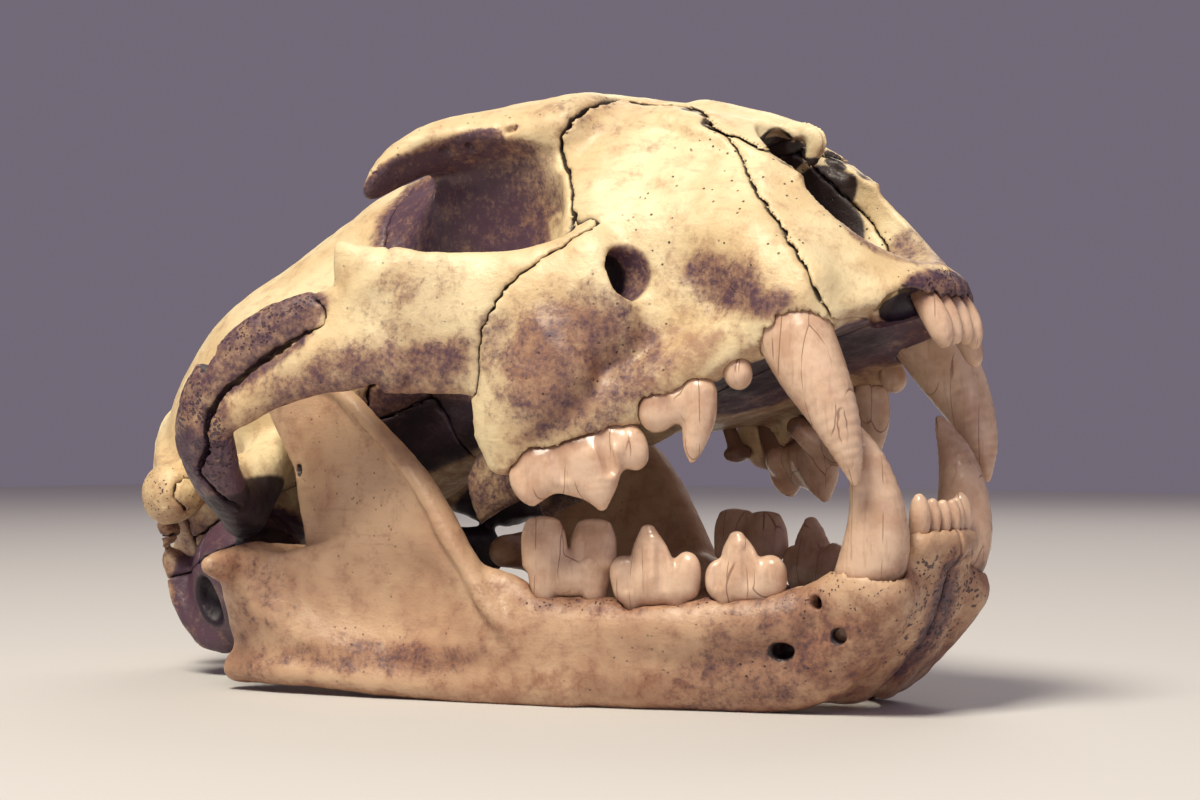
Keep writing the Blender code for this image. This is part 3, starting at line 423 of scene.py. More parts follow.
def carveOpenings(clay):
    nose = [(196, 0, 16, 11, 9), (184, 0, 21, 12.2, 12), (172, 0, 25.5, 11.8, 13), (160, 0, 28, 10, 13),
            (148, 0, 31, 8, 12)]
    clay.carve(strap(nose), 1.5)
    clay.carve(strap([(184, 8.2, 34, 5, 6), (173, 8.1, 38.2, 4.9, 5), (169.4, 7.3, 40.5, 3.6, 4),
                      (167.2, 6.8, 42, 2, 2.4)]), 0.7)                        # nose notch
    clay.carve(strap([(173, 13.2, 35.6, 3.1, 4.2), (170.6, 10, 36.6, 3.1, 4.3), (165.8, 3.6, 38.2, 2.6, 3.8)]), 0.6)
    palate = [(181, 0, -5, 10, 7), (162, 0, -5, 17, 8), (142, 0, -6, 24, 9), (122, 0, -6, 26, 9),
              (108, 0, -4, 14, 9), (92, 0, -3, 8, 11), (76, 0, -4, 7, 11)]
    clay.carve(strap(palate), 2)
    clay.carve(strap([(157, 32.6, 20, 3.2, 4.4), (147, 30.6, 21, 3.6, 5), (138, 30, 22, 3.4, 5),
                      (129, 28, 26, 4, 5)]), 1)                             # nerve canal
    clay.carve(egg((27, 32.5, -1), (4, 6, 5)), 1.5)                         # ear opening
    clay.carve(egg((111.9, 27.5, 59), (1, 1.2, 1.4)), 0.3)                  # small holes in the socket's roof
    clay.carve(egg((116.2, 25.6, 58.6), (0.8, 1, 1.2)), 0.3)
    clay.carve(egg((125.6, 24.4, 57.9), (1.6, 1, 0.8)), 0.5)
    clay.carve(egg((6, 0, 19), (16, 8.5, 7.5)), 1.5)                        # foramen magnum
    jawJoint = [(52.6, 24, -1.2, 6.4, 6.4), (52.6, 60, -0.6, 6.2, 6.2)]
    clay.carve(strap(jawJoint, (1, 0, 0), 1), 1)


# the lower jaw, left half

def addJaw(clay):
    body = [(112.5, 12, 19.5, 5.2, 9.8), (105, 15, 16.9, 5.4, 10), (92, 20, 17.3, 5.2, 9.6),
            (78, 25.5, 18, 5.2, 9.4), (66, 29.4, 19.4, 5, 9.4), (57, 32, 22.6, 4.6, 11.4),
            (50, 33.5, 23.6, 4.4, 12), (36, 37, 26, 3.8, 12.5), (24, 39.5, 27, 3.4, 11), (14, 41, 26.5, 3, 9)]
    clay.add(strap(body), 0.1)
    clay.add(strap([(110, 17.6, 23.2, 4.4, 5), (95, 22.3, 22.6, 4.4, 5), (80, 26.6, 23, 4.4, 5),
                    (64, 30.2, 24.4, 4.2, 5)]), 2.5)
    clay.add(strap([(125, 12.4, 27.5, 6.4, 7.4), (117.5, 11.8, 20, 6.2, 7.2), (109, 11.6, 15, 5, 6.6)]), 3)
    clay.add(strap([(127, 3, 30.5, 8, 5.6), (122.2, 3.2, 22, 8, 6.2), (112.5, 4.5, 13.6, 7, 6.6)]), 3)
    lowerRidge = [(70, 29, 12.4, 3.4, 3.5), (50, 34, 13.3, 3.2, 2.9), (30, 39.2, 15.4, 3.2, 2.6),
                  (12, 42.2, 17.2, 3.4, 2.4), (1.5, 42.2, 18, 3.6, 2.6)]
    clay.add(strap(lowerRidge), 3)
    coronoid = [(37.5, 35.5, 26.4, 2.8, 20), (33.7, 36.4, 37.5, 2.5, 18), (30.2, 37, 45, 2.2, 16),
                (26.2, 37.3, 52.4, 2, 13.5), (21.9, 37.2, 60, 1.8, 10.7), (16, 36.8, 65.4, 1.6, 9),
                (9.5, 36.3, 70, 1.4, 5.6), (6, 36, 73, 1.1, 2.4)]
    clay.add(strap(coronoid), 3)
    frontRidge = [(64, 32, 20, 2.4, 1.6), (60.6, 34.4, 25.2, 3, 1.9), (56.6, 35.6, 30.7, 3, 1.9),
                  (53, 36.2, 37.1, 2.8, 1.9), (46, 37.2, 49.5, 2.6, 1.8), (40.7, 37.7, 55.8, 2.4, 1.7),
                  (33.8, 37.8, 62.3, 2.2, 1.6), (27.4, 37.6, 67.6, 1.9, 1.5), (17, 37, 72.4, 1.5, 1.3),
                  (8.5, 36.3, 74.2, 1.2, 1.2)]
    clay.add(strap(frontRidge), 1)
    clay.add(strap([(7, 30, 37, 3.4, 3.4), (6.5, 42, 37, 4.3, 4.3), (7, 50, 37.3, 3.2, 3.2),
                    (7.4, 54.4, 37.6, 1.8, 1.8)], (1, 0, 0)), 2)
    clay.add(strap([(111, 15.8, 24.2, 4.2, 3.6), (118.5, 15.2, 26.6, 4.4, 4.2), (124, 13.8, 28, 5, 5)]), 2)
    clay.add(strap([(132.2, 0, 34.4, 3.2, 3.4), (131, 6.8, 34.6, 3, 3.2)], (1, 0, 0)), 1.5)
    clay.add(strap([(8, 43, 33, 3, 6), (20, 40, 31, 2.6, 9), (34, 38, 29, 2.6, 10)]), 4)
    clay.add(strap([(8, 47.5, 36, 2.6, 4.6), (7.8, 45.5, 31, 2.4, 6), (7.5, 43, 25, 2.4, 7),
                    (7.5, 41.5, 20, 2.6, 7)]), 3)
    clay.carve(egg((35, 46.6, 31), (26, 10, 14.5), (0, 13, -10)), 1.8)       # hollow of the chewing muscle
    clay.carve(egg((92, 0, 20), (26, 9, 20), (0, 0, 8)), 3)
    clay.carve(peg((121, 20, 20.1), (119.5, 10, 20.1), 1.4, 1.2), 0.6)
    clay.carve(strap([(111.5, 23, 17.9, 2.2, 1.5), (108, 14, 17.9, 1.8, 1.4)], (1, 0.3, 0)), 0.6)
    clay.carve(peg((117.2, 19, 26), (116.5, 13, 25.5), 1.0, 0.8), 0.5)
    clay.carve(egg((15.1, 38.6, 54.6), (0.9, 1.6, 0.9)), 0.3)


# the teeth, left side: each one's shapes and how softly they blend

teeth = {
    "upper_canine": (0.5, [
        strap([(163.5, 18.5, 14, 4, 5), (168.6, 21.4, 4, 5.4, 6.7), (171, 22.6, -5, 5.2, 6.2),
               (172.7, 22.8, -13, 4.1, 4.7), (173.2, 22.5, -20, 2.8, 3.1), (172.7, 22, -25, 1.3, 1.4),
               (172.4, 21.9, -26.8, 0.6, 0.6)])]),
    "upper_premolar_2": (1, [
        egg((158.3, 25, -2), (2.6, 2.2, 2.9)),
        peg((158.4, 24.7, -1), (158.3, 24.4, 4), 1.6, 1.3)]),
    "upper_premolar_3": (1.5, [
        strap([(143, 30.6, -2.8, 2.4, 3.3), (147.5, 29, -3.8, 2.4, 3.2)]),
        strap([(151.2, 27.7, -3, 2.7, 3.4), (150, 28, -7, 2.4, 3.2), (147.8, 28.7, -11.4, 1.5, 2),
               (146.8, 28.9, -13.6, 0.6, 0.7)]),
        egg((143.3, 30.4, -4.4), (2.8, 2.1, 2.8)),
        peg((151, 27.4, -2), (151.5, 26.5, 5), 2.3, 1.6),
        peg((143.5, 30.2, -2), (144, 29, 5), 2.3, 1.8)]),
    "upper_carnassial": (1.1, [
        strap([(137.6, 31.7, -7, 2.3, 3.2), (131, 34.5, -7.2, 3.2, 5), (124, 37.8, -6.6, 2.6, 4.4),
               (118.6, 40, -7.6, 2.1, 3.6)]),
        strap([(131.4, 34.4, -8, 3.1, 5.6), (130.7, 34.8, -12.5, 2.3, 3.6), (130.1, 35, -16.1, 0.9, 1.1)]),
        strap([(125.6, 37.2, -9.4, 2, 2.8), (128, 36, -11.6, 1.9, 2.4), (130, 35, -14.4, 1.2, 1.4)]),
        strap([(124, 37.9, -7.6, 2.1, 3.4), (119, 40, -9.3, 1.8, 3.3)]),
        egg((137.6, 31.9, -8.6), (2.8, 2.2, 3.6)),
        peg((134.6, 32.6, -5), (134.8, 31, 4), 2.6, 1.8),
        peg((121.5, 38, -5), (122, 36.5, 4), 3.6, 2.2),
        peg((134, 31, -6), (134, 26.5, -3), 2.6, 2)]),
    "upper_molar": (0.8, [
        egg((114.5, 33.5, -1.5), (1.9, 3.4, 1.8), (0, 0, -12)),
        peg((114.5, 33.5, -1), (114.5, 33, 4), 1.6, 1.3)]),
    "upper_incisor_3": (0.3, [
        strap([(181.4, 11.2, 5, 2, 2.3), (182.8, 11.4, -2, 2.2, 2.6), (183, 11.4, -7, 1.6, 1.8),
               (183, 11.4, -8.4, 1, 1)])]),
    "upper_incisor_2": (0.3, [
        strap([(185.4, 5.4, 4.5, 1.5, 1.8), (187, 5.2, -1.5, 1.7, 2.5), (187.4, 5, -5, 1.6, 2.2),
               (187.2, 4.9, -6.8, 1, 1.3)])]),
    "upper_incisor_1": (0.3, [
        strap([(186, 1.9, 4.5, 1.2, 1.6), (187.6, 1.8, -1.5, 1.5, 2), (187.8, 1.75, -4.8, 1.4, 1.8),
               (187.6, 1.7, -6.4, 0.9, 1.1)])]),
    "lower_canine": (0.5, [
        strap([(119, 12.4, 22, 4.2, 5.2), (125.8, 13.5, 33, 4.8, 6.1), (127.5, 14.3, 41, 4.2, 5),
               (126.4, 14.9, 49, 3, 3.5), (123.9, 15.2, 55, 1.4, 1.6), (123, 15.2, 57, 0.6, 0.7)])]),
    "lower_premolar_3": (0.9, [
        strap([(108.5, 18.1, 30.2, 2, 3.2), (103, 20, 30, 2.7, 4), (98.8, 21.6, 30.4, 2.2, 3.2)]),
        strap([(102.8, 20, 31.5, 2.6, 4.5), (102.5, 20.2, 35, 2, 3.3), (102.4, 20.3, 37.8, 1, 1.5)]),
        egg((99.3, 21.4, 31.6), (2.3, 2, 2.4)),
        egg((107.8, 18.4, 31.6), (2.8, 2, 2.8)),
        peg((106, 18.6, 29), (106, 17.6, 20), 2.1, 1.5),
        peg((100, 21, 29), (100, 20, 20), 2.2, 1.5)]),
    "lower_premolar_4": (0.9, [
        strap([(93.8, 23.3, 30.6, 2.1, 3.4), (88, 25.2, 30.4, 2.9, 4.2), (82.6, 27, 30.8, 2.3, 3.6)]),
        strap([(87.7, 25.4, 32, 2.8, 4.8), (87.4, 25.6, 36, 2.2, 3.7), (87.3, 25.7, 39.8, 1, 1.5)]),
        egg((82.5, 27, 32.6), (2.7, 2.1, 3)),
        egg((93.7, 23.4, 32.6), (2.6, 1.9, 3.1)),
        peg((91.5, 23.8, 29), (91.5, 22.8, 20), 2.3, 1.6),
        peg((84, 26.2, 29), (84, 25.2, 20), 2.4, 1.6)]),
    "lower_carnassial": (0.6, [
        strap([(76.6, 26.6, 33, 2.3, 3.4), (71.5, 28.1, 32.8, 3, 4.3), (66, 29.7, 33.4, 2.4, 3.8)]),
        strap([(75.9, 27, 35, 2.7, 4.8), (75.9, 26.8, 38.6, 2.2, 4.8), (76, 26.6, 41.2, 1.2, 3.9)]),
        strap([(66.8, 29.5, 35, 2.7, 4.9), (66.9, 29.7, 39.4, 2.2, 4.9), (67, 29.8, 42.1, 1.2, 4)]),
        peg((75.5, 26.9, 31), (75.5, 26, 22), 2.4, 1.8),
        peg((66.5, 29.6, 31), (66.5, 29, 22), 2.6, 1.8)]),
    "lower_incisor_3": (0.3, [
        strap([(129.8, 6.4, 33, 1.1, 1.4), (131.3, 6.9, 39, 1.7, 2), (131.4, 6.9, 41.6, 1.4, 1.6),
               (131.4, 6.9, 42.6, 1, 1)])]),
    "lower_incisor_2": (0.3, [
        strap([(130, 4, 33, 0.8, 1.6), (132, 4, 39, 1, 1.7), (132.2, 4, 41.8, 0.9, 1)])]),
    "lower_incisor_1": (0.3, [
        strap([(130.6, 1.6, 33, 0.9, 1.6), (132.6, 1.6, 39, 1, 1.7), (132.8, 1.6, 41.5, 0.9, 1)])]),
}
grooves = {              # between the lobes
    "upper_carnassial": [
        strap([(127.3, 40.4, -4, 1.4, 1.4), (127, 39.9, -9.5, 1.4, 1.4)]),
        strap([(135.1, 36.6, -4.5, 1.3, 1.3), (134.8, 36.1, -11, 1.3, 1.3)])],
    "upper_premolar_3": [strap([(147, 32.4, -3.5, 1.2, 1.2), (147.1, 31.7, -9, 1.2, 1.2)])],
    "lower_premolar_3": [
        strap([(105.9, 22.5, 30, 1.2, 1.2), (105.3, 21.7, 36, 1.2, 1.2)]),
        strap([(100.1, 24.2, 30, 1.2, 1.2), (100.4, 23.5, 36, 1.2, 1.2)])],
    "lower_premolar_4": [
        strap([(91.4, 27.8, 30, 1.2, 1.2), (90.8, 27.1, 37, 1.2, 1.2)]),
        strap([(84.7, 29.7, 30, 1.2, 1.2), (85, 29.1, 37, 1.2, 1.2)])],
}
emptySocket = {
    "tooth": "upper_incisor_3_right",
    "rim": egg((183, 7.6, -1.2), (6.3, 4.2, 4.4), (0, 0, -38)),
    "hole": egg((185.2, 10.4, 0.5), (4.8, 4.6, 2.8), (0, 0, -38)),
    "beside": ("upper_incisor_2", "upper_canine"),
}


def toothDistance(name, xyz):
    soft, shapes = teeth[name]
    total = np.full([axis.size for axis in xyz], farAway, np.float32)
    for shape in shapes:
        total = softMin(total, shape[2](*xyz), soft)
    for shape in grooves.get(name, ()):
        total = softMax(total, -shape[2](*xyz), 0.7)
    return total


def toothBox(name):
    shapes = teeth[name][1]
    return np.min([shape[0] for shape in shapes], axis=0) - 2, np.max([shape[1] for shape in shapes], axis=0) + 2


def cutSocket(clay, name):
    cut, xyz = clay.window(*toothBox(name))
    if 0 not in clay.field[cut].shape:
        clay.field[cut] = softMax(clay.field[cut], skull["socket"] - toothDistance(name, xyz), 0.4)


# bones of the cranium in the order they are parted: edge in side view (x, z), reach across (y),
# and the suture's width along x, raggedness and length of its teeth

midlineGap = 0.15        # half the gap between left and right
plainSuture = {"width": ([100], [0.25]), "ragged": 0.4, "size": 2}
sutures = {
    "nasal": {"width": ([150, 158], [0.7, 0.25]), "ragged": 0.3, "size": 2.2},
    "jugal": {
        "edge": [(145, 42), (141.6, 31), (133.4, 28.1), (127.5, 25), (123.4, 21.8), (120.9, 18),
                 (119.1, 14), (117.1, 9.1), (111.4, 10.8), (100, 4), (60, 4), (60, 15), (66, 18.6),
                 (69, 22.8), (73.8, 25.9), (80.8, 28.1), (87.1, 29.6), (95.1, 30.5), (96, 33),
                 (94, 37), (92, 50), (112, 50)],
        "across": (29, 75), "width": ([88, 95], [1.2, 0.3]), "ragged": 0.45, "size": 1.6},
    "temporal": {
        "edge": [(27, 7), (29, 22), (37, 36), (50, 41), (63, 38), (71, 30), (84, 46), (104, 46),
                 (104, 2), (62, -12), (41, -12), (41, 7)],
        "across": (22, 75), **plainSuture, "width": ([100], [0.3]), "ragged": 0.5},
    "bulla": {
        "edge": [(10, -25), (12, 7), (49, 7), (49, -25)],
        "across": (8, 45), **plainSuture, "ragged": 0.3},
    "frontal": {
        "edge": [(84, 85), (137, 85), (139.5, 58.5), (136.6, 54.6), (133.7, 52.7), (133, 49),
                 (135.5, 41.6), (136.3, 36), (136, 31), (84, 31)],
        "across": (midlineGap, 45), "width": ([118, 128], [0.15, 0.75]), "ragged": 0.4, "size": 1.8},
    "premaxilla": {
        "edge": [(158, 46), (163.5, 40.5), (167.2, 30.7), (170.8, 23.3), (174.5, 15), (177, 8.5),
                 (177.3, 0), (177.3, -12), (200, -12), (200, 60), (158, 60)],
        "across": (midlineGap, 45), "width": ([100], [0.28]), "ragged": 0.35, "size": 1.8},
    "palatine": {
        "edge": [(82, 32), (124, 32), (117, 12), (110, 5), (110, -20), (82, -20)],
        "across": (midlineGap, 33), **plainSuture},
    "maxilla": {
        "edge": [(90, 72), (178, 72), (178, -18), (90, -18)],
        "across": (midlineGap, 70), **plainSuture, "ragged": 0.3},
    "occipital": {
        "edge": [(-12, -25), (12, -25), (14, 8), (21, 24), (16, 38), (12, 60), (-12, 60)],
        "across": (-60, 70), **plainSuture},
    "skull_base": {
        "edge": [(-5, -30), (0, 14), (40, 17), (90, 23), (90, -30)],
        "across": (-60, 70), **plainSuture},
    "parietal": plainSuture,
}
midlineBones = ("occipital", "skull_base", "parietal")
nasalForm = {
    "back": 126, "under": 26,
    "half": {126: 3.5, 140: 7.5, 150: 10.5, 156: 14, 180: 16},
    "edge": {128: 65, 132: 61.8, 140: 58.4, 150: 54, 155.8: 49.8, 160.9: 43.6, 165.5: 39.2, 169.9: 35,
             173.2: 30.5, 176: 27.5},
}


def outlineDistance(edge, x, z):
    # signed distance from a closed outline in side view, negative inside
    edge = np.asarray(edge, float)
    nearest, inside = np.full((x.size, 1, z.size), farAway**2), np.zeros((x.size, 1, z.size), bool)
    for (ax, az), (bx, bz) in zip(edge, np.roll(edge, -1, axis=0)):
        dx, dz = bx - ax, bz - az
        t = np.clip(((x - ax) * dx + (z - az) * dz) / (dx * dx + dz * dz), 0, 1)
        nearest = np.minimum(nearest, (x - ax - t * dx)**2 + (z - az - t * dz)**2)
        crosses = (az > z) != (bz > z)
        inside ^= crosses & (x < ax + dx * (z - az) / (dz if dz else 1))
    return np.where(inside, -1, 1) * np.sqrt(nearest)


def boneRegion(name, clay):
    x, y, z = clay.window((-1e3,) * 3, (1e3,) * 3)[1]
    form = sutures[name]
    if name == "parietal":
        return np.full(clay.field.shape, -farAway, np.float32)
    if name == "nasal":
        half, edge = (np.interp(x, list(nasalForm[key]), list(nasalForm[key].values())) for key in ("half", "edge"))
        side = np.maximum(y - half, np.maximum(nasalForm["back"] - x, midlineGap - y))
        side = np.maximum(side, nasalForm["under"] - z)
        region = np.maximum(side, 0.75 * (edge - z) - np.maximum(7 - y, 0)).astype(np.float32)
    else:
        low, high = form["across"]
        region = np.maximum(outlineDistance(form["edge"], x, z), np.maximum(low - y, y - high)).astype(np.float32)
    band, points = clay.places((np.abs(region) < 3) & (np.abs(clay.field) < 2.5))
    fade = np.clip(1.4 - np.abs(clay.field[band]) / 2, 0, 1)
    fade = fade * np.clip(np.abs(points[:, 1]) / 2, 0, 1)
    jag = noise(points, form["size"], 11) + 0.7 * noise(points, form["size"] / 2.1, 12)
    region[band] += form["ragged"] * fade * jag
    return region


def partBones(clay):
    # splits the block at the sutures
    taken = np.full(clay.field.shape, -farAway, np.float32)
    for name, form in sutures.items():
        region = boneRegion(name, clay)
        half = np.interp(clay.lines[0], *form["width"])[:, None, None] / 2
        yield name, np.maximum(np.maximum(clay.field, region + half), taken)
        taken = np.maximum(taken, half - region)


def trimmed(field, lines):
    # the smallest block of grid points that holds a bone
    solid = field < 0
    cut = []
    for axis in range(3):
        used = np.nonzero(solid.any(axis=tuple(k for k in range(3) if k != axis)))[0]
        cut.append(slice(max(used[0] - 3, 0), used[-1] + 4))
    cut = tuple(cut)
    return field[cut], np.array([lines[k][cut[k].start] for k in range(3)], float)


def bothSides(field, lines):
    # the left half with its mirror image; grid line 3 is the midline
    full = np.concatenate([field[:, :3:-1], field[:, 3:]], axis=1)
    across = np.concatenate([-lines[1][:3:-1], lines[1][3:]])
    return full, [lines[0], across, lines[2]]


def newMesh(name, points, quads, values):
    mesh = bpy.data.meshes.new(name)
    mesh.vertices.add(len(points))
    mesh.vertices.foreach_set("co", points.astype(np.float32).ravel())
    mesh.loops.add(4 * len(quads))
    mesh.loops.foreach_set("vertex_index", quads.astype(np.int32).ravel())
    mesh.polygons.add(len(quads))
    mesh.polygons.foreach_set("loop_start", np.arange(0, 4 * len(quads), 4, dtype=np.int32))
    mesh.polygons.foreach_set("use_smooth", np.ones(len(quads), bool))
    mesh.update(calc_edges=True)
    for key, value in values.items():
        attribute = mesh.attributes.new(key, "FLOAT", "POINT")
        attribute.data.foreach_set("value", value.astype(np.float32))
    mesh.validate()
    return mesh


def addPiece(node, points, quads, values, slot):
    name = node.replace("_", " ").title().replace(" ", "")
    item = bpy.data.objects.new(name, newMesh(name, points, quads, values))
    bpy.context.scene.collection.objects.link(item)
    item.data.materials.append(materials[slot])
    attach(item, "root")
    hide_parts(node)


def addPair(node, points, quads, values, slot):
    addPiece(node + "_left", points, quads, values, slot)
    if node + "_right" != emptySocket["tooth"]:
        addPiece(node + "_right", points * (1, -1, 1), quads[:, ::-1], values, slot)


# materials

class Nodes:
    # a new material, painted and embossed layer by layer

    def __init__(self, name, colour):
        self.material = bpy.data.materials.new(name)
        self.material.use_nodes = True
        self.tree = self.material.node_tree
        self.tree.nodes.clear()
        self.place = self.add("ShaderNodeTexCoord").outputs["Object"]
        self.colour, self.relief = colour, None

    def add(self, kind, **settings):
        node = self.tree.nodes.new(kind)
        for key, value in settings.items():
            setattr(node, key, value)
        return node

    def link(self, value, socket):
        if hasattr(value, "is_output"):
            self.tree.links.new(value, socket)
        else:
            socket.default_value = value

    def linkAll(self, node, *values):
        for value, socket in zip(values, node.inputs):
            self.link(value, socket)
        return node.outputs[0]

    def drawnOut(self, stretch):
        # a small number draws the pattern out along that axis
        if not stretch:
            return self.place
        mapping = self.add("ShaderNodeMapping")
        self.link(self.place, mapping.inputs["Vector"])
        self.link(stretch, mapping.inputs["Scale"])
        return mapping.outputs["Vector"]

    def noise(self, size, detail=4, rough=0.55, stretch=None):
        node = self.add("ShaderNodeTexNoise")
        for key, value in (("Vector", self.drawnOut(stretch)), ("Scale", 1000 / size), ("Detail", detail),
                           ("Roughness", rough)):
            self.link(value, node.inputs[key])
        return node.outputs["Fac"]

    def cells(self, size, feature="F1", stretch=None):
        node = self.add("ShaderNodeTexVoronoi", feature=feature)
        self.link(self.drawnOut(stretch), node.inputs["Vector"])
        self.link(1000 / size, node.inputs["Scale"])
        return node.outputs["Distance"]

    def own(self, key):
        return self.add("ShaderNodeAttribute", attribute_name=key).outputs["Fac"]

    def plus(self, value, share, more):
        # value times share, plus more
        return self.linkAll(self.add("ShaderNodeMath", operation="MULTIPLY_ADD"), value, share, more)

    def times(self, value, share):
        return self.plus(value, share, 0.0)

    def ramp(self, value, low, high, start=0.0, end=1.0):
        return self.linkAll(self.add("ShaderNodeMapRange", interpolation_type="SMOOTHSTEP"),
                            value, low, high, start, end)

    def paint(self, share, tint):
        node = self.add("ShaderNodeMix", data_type="RGBA")
        for value, number in ((share, 0), (self.colour, 6), (tint, 7)):
            self.link(value, node.inputs[number])
        self.colour = node.outputs[2]

    def emboss(self, height, depth):
        node = self.add("ShaderNodeBump")
        self.link(depth / 1000, node.inputs["Distance"])
        self.link(height, node.inputs["Height"])
        if self.relief is not None:
            self.link(self.relief, node.inputs["Normal"])
        self.relief = node.outputs["Normal"]

    def finish(self, rough, **settings):
        shader = self.add("ShaderNodeBsdfPrincipled")
        for key, value in (("Base Color", self.colour), ("Roughness", rough), ("Normal", self.relief)):
            self.link(value, shader.inputs[key])
        for key, value in settings.items():
            shader.inputs["Subsurface " + key].default_value = value
        self.tree.links.new(shader.outputs[0], self.add("ShaderNodeOutputMaterial").inputs["Surface"])
        return self.material


boneLook = {
    "pale": (0.83, 0.69, 0.42, 1), "cream": (0.72, 0.53, 0.29, 1), "tan": (0.43, 0.25, 0.14, 1),
    "stain": (0.062, 0.028, 0.060, 1), "dark": (0.014, 0.006, 0.014, 1), "rust": (0.30, 0.145, 0.09, 1),
    "rough": 0.46,
}
jawLook = {
    "pale": (0.60, 0.40, 0.25, 1), "cream": (0.47, 0.28, 0.17, 1), "tan": (0.28, 0.135, 0.09, 1),
    "stain": (0.060, 0.030, 0.050, 1), "dark": (0.012, 0.007, 0.011, 1), "rust": (0.27, 0.11, 0.06, 1),
    "rough": 0.43,
}
toothLook = {
    "pale": (0.74, 0.53, 0.38, 1), "cream": (0.58, 0.37, 0.25, 1), "root": (0.34, 0.17, 0.11, 1),
    "edge": (0.16, 0.08, 0.05, 1), "crack": (0.20, 0.10, 0.06, 1), "rough": 0.24,
}


def boneMaterial(name, look):
    n = Nodes(name, look["pale"])
    broad, mottled, fine = n.noise(16, 3), n.noise(4, 6, 0.62), n.noise(0.8, 4, 0.65)
    flecks, grain = n.noise(1.7, 5, 0.7), n.noise(1.5, 4, 0.6, (0.13, 1, 1))
    deep, tight, stain, rust, porous, speckle, void = (
        n.own(key) for key in ("deep", "tight", "stain", "rust", "porous", "speckle", "void"))
    uneven, crumbs = n.plus(mottled, 1, -0.5), n.plus(fine, 1, n.plus(flecks, 1, -1))
    n.paint(n.ramp(broad, 0.38, 0.66), look["cream"])
    n.paint(n.ramp(n.plus(fine, 0.4, mottled), 0.68, 0.98, 0, 0.5), look["tan"])
    n.paint(n.ramp(grain, 0.52, 0.74, 0, 0.3), look["tan"])
    # rust tones, and painted shade on downward-facing bone
    n.paint(n.ramp(n.plus(uneven, 1.1, n.plus(crumbs, 0.5, rust)), 0.25, 0.95, 0, 0.75), look["rust"])
    n.paint(n.ramp(n.plus(uneven, 0.6, stain), 0.05, 0.75, 0, 0.85), look["rust"])         # rust-brown wash round the stains and the painted shade
    # real stains and painted shade, by the stain marks
    n.paint(n.ramp(n.plus(uneven, 1.2, n.plus(crumbs, 1, stain)), 0.25, 1, 0, 0.92), look["stain"])
    n.paint(n.ramp(n.plus(uneven, 0.2, deep), 0.62, 0.84, 0, 0.85), look["stain"])         # painted shade in hollows
    # painted shade inside openings
    n.paint(n.ramp(n.plus(uneven, 0.3, void), 0.25, 0.85, 0, 0.96), look["dark"])
    n.paint(n.ramp(n.plus(crumbs, 0.1, tight), 0.62, 0.80, 0, 0.9), look["dark"])          # painted shade in tight creases
    # painted shade inside the porous bone's pits
    share = n.times(porous, n.ramp(n.noise(2.2, 3), 0.36, 0.62, 0.12, 0.56))
    holes = n.ramp(n.plus(share, -1, n.cells(0.75)), -0.14, 0, 1, 0)
    n.paint(n.times(holes, 0.85), look["stain"])
    # painted shade inside the small pin pores
    dots = n.times(n.ramp(n.cells(1.8), 0.07, 0.16, 1, 0), n.ramp(n.noise(6, 2), 0.44, 0.56))
    dots = n.times(dots, speckle)
    n.paint(n.times(dots, 0.9), look["dark"])
    for height, depth in ((mottled, 0.30), (grain, 0.08), (fine, 0.12), (n.times(dots, -1), 0.25),
                          (n.times(holes, -1), 0.6)):
        n.emboss(height, depth)
    rough = n.ramp(mottled, 0.3, 0.7, look["rough"] - 0.1, look["rough"] + 0.12)
    return n.finish(rough, Weight=0.04, Scale=0.0012, Radius=(1.0, 0.6, 0.35))


def toothMaterial(name, look):
    n = Nodes(name, look["pale"])
    broad, fine, streaks = n.noise(5, 4, 0.6), n.noise(0.8, 4, 0.6), n.noise(1.2, 4, 0.6, (1, 1, 0.12))
    ragged = n.plus(n.plus(fine, 1, -0.5), 0.3, n.own("root"))
    n.paint(n.ramp(broad, 0.35, 0.68), look["cream"])
    n.paint(n.ramp(streaks, 0.5, 0.75, 0, 0.35), look["root"])
    n.paint(n.ramp(ragged, -0.1, 0.75, 0, 0.7), look["root"])
    n.paint(n.ramp(ragged, 0.6, 1, 0, 0.85), look["edge"])
    # painted shade in the creases between the tooth's lobes
    n.paint(n.ramp(n.own("tight"), 0.60, 0.78, 0, 0.8), look["edge"])
    cracks = n.ramp(n.cells(5, "DISTANCE_TO_EDGE", (1, 1, 0.07)), 0.006, 0.018, 1, 0)
    cracks = n.times(cracks, n.ramp(n.noise(8, 1), 0.46, 0.56))
    n.paint(n.times(cracks, 0.7), look["crack"])
    for height, depth in ((broad, 0.10), (streaks, 0.04), (fine, 0.02), (n.times(cracks, -1), 0.05)):
        n.emboss(height, depth)
    return n.finish(look["rough"], Weight=0.10, Scale=0.0012, Radius=(1.0, 0.55, 0.3))
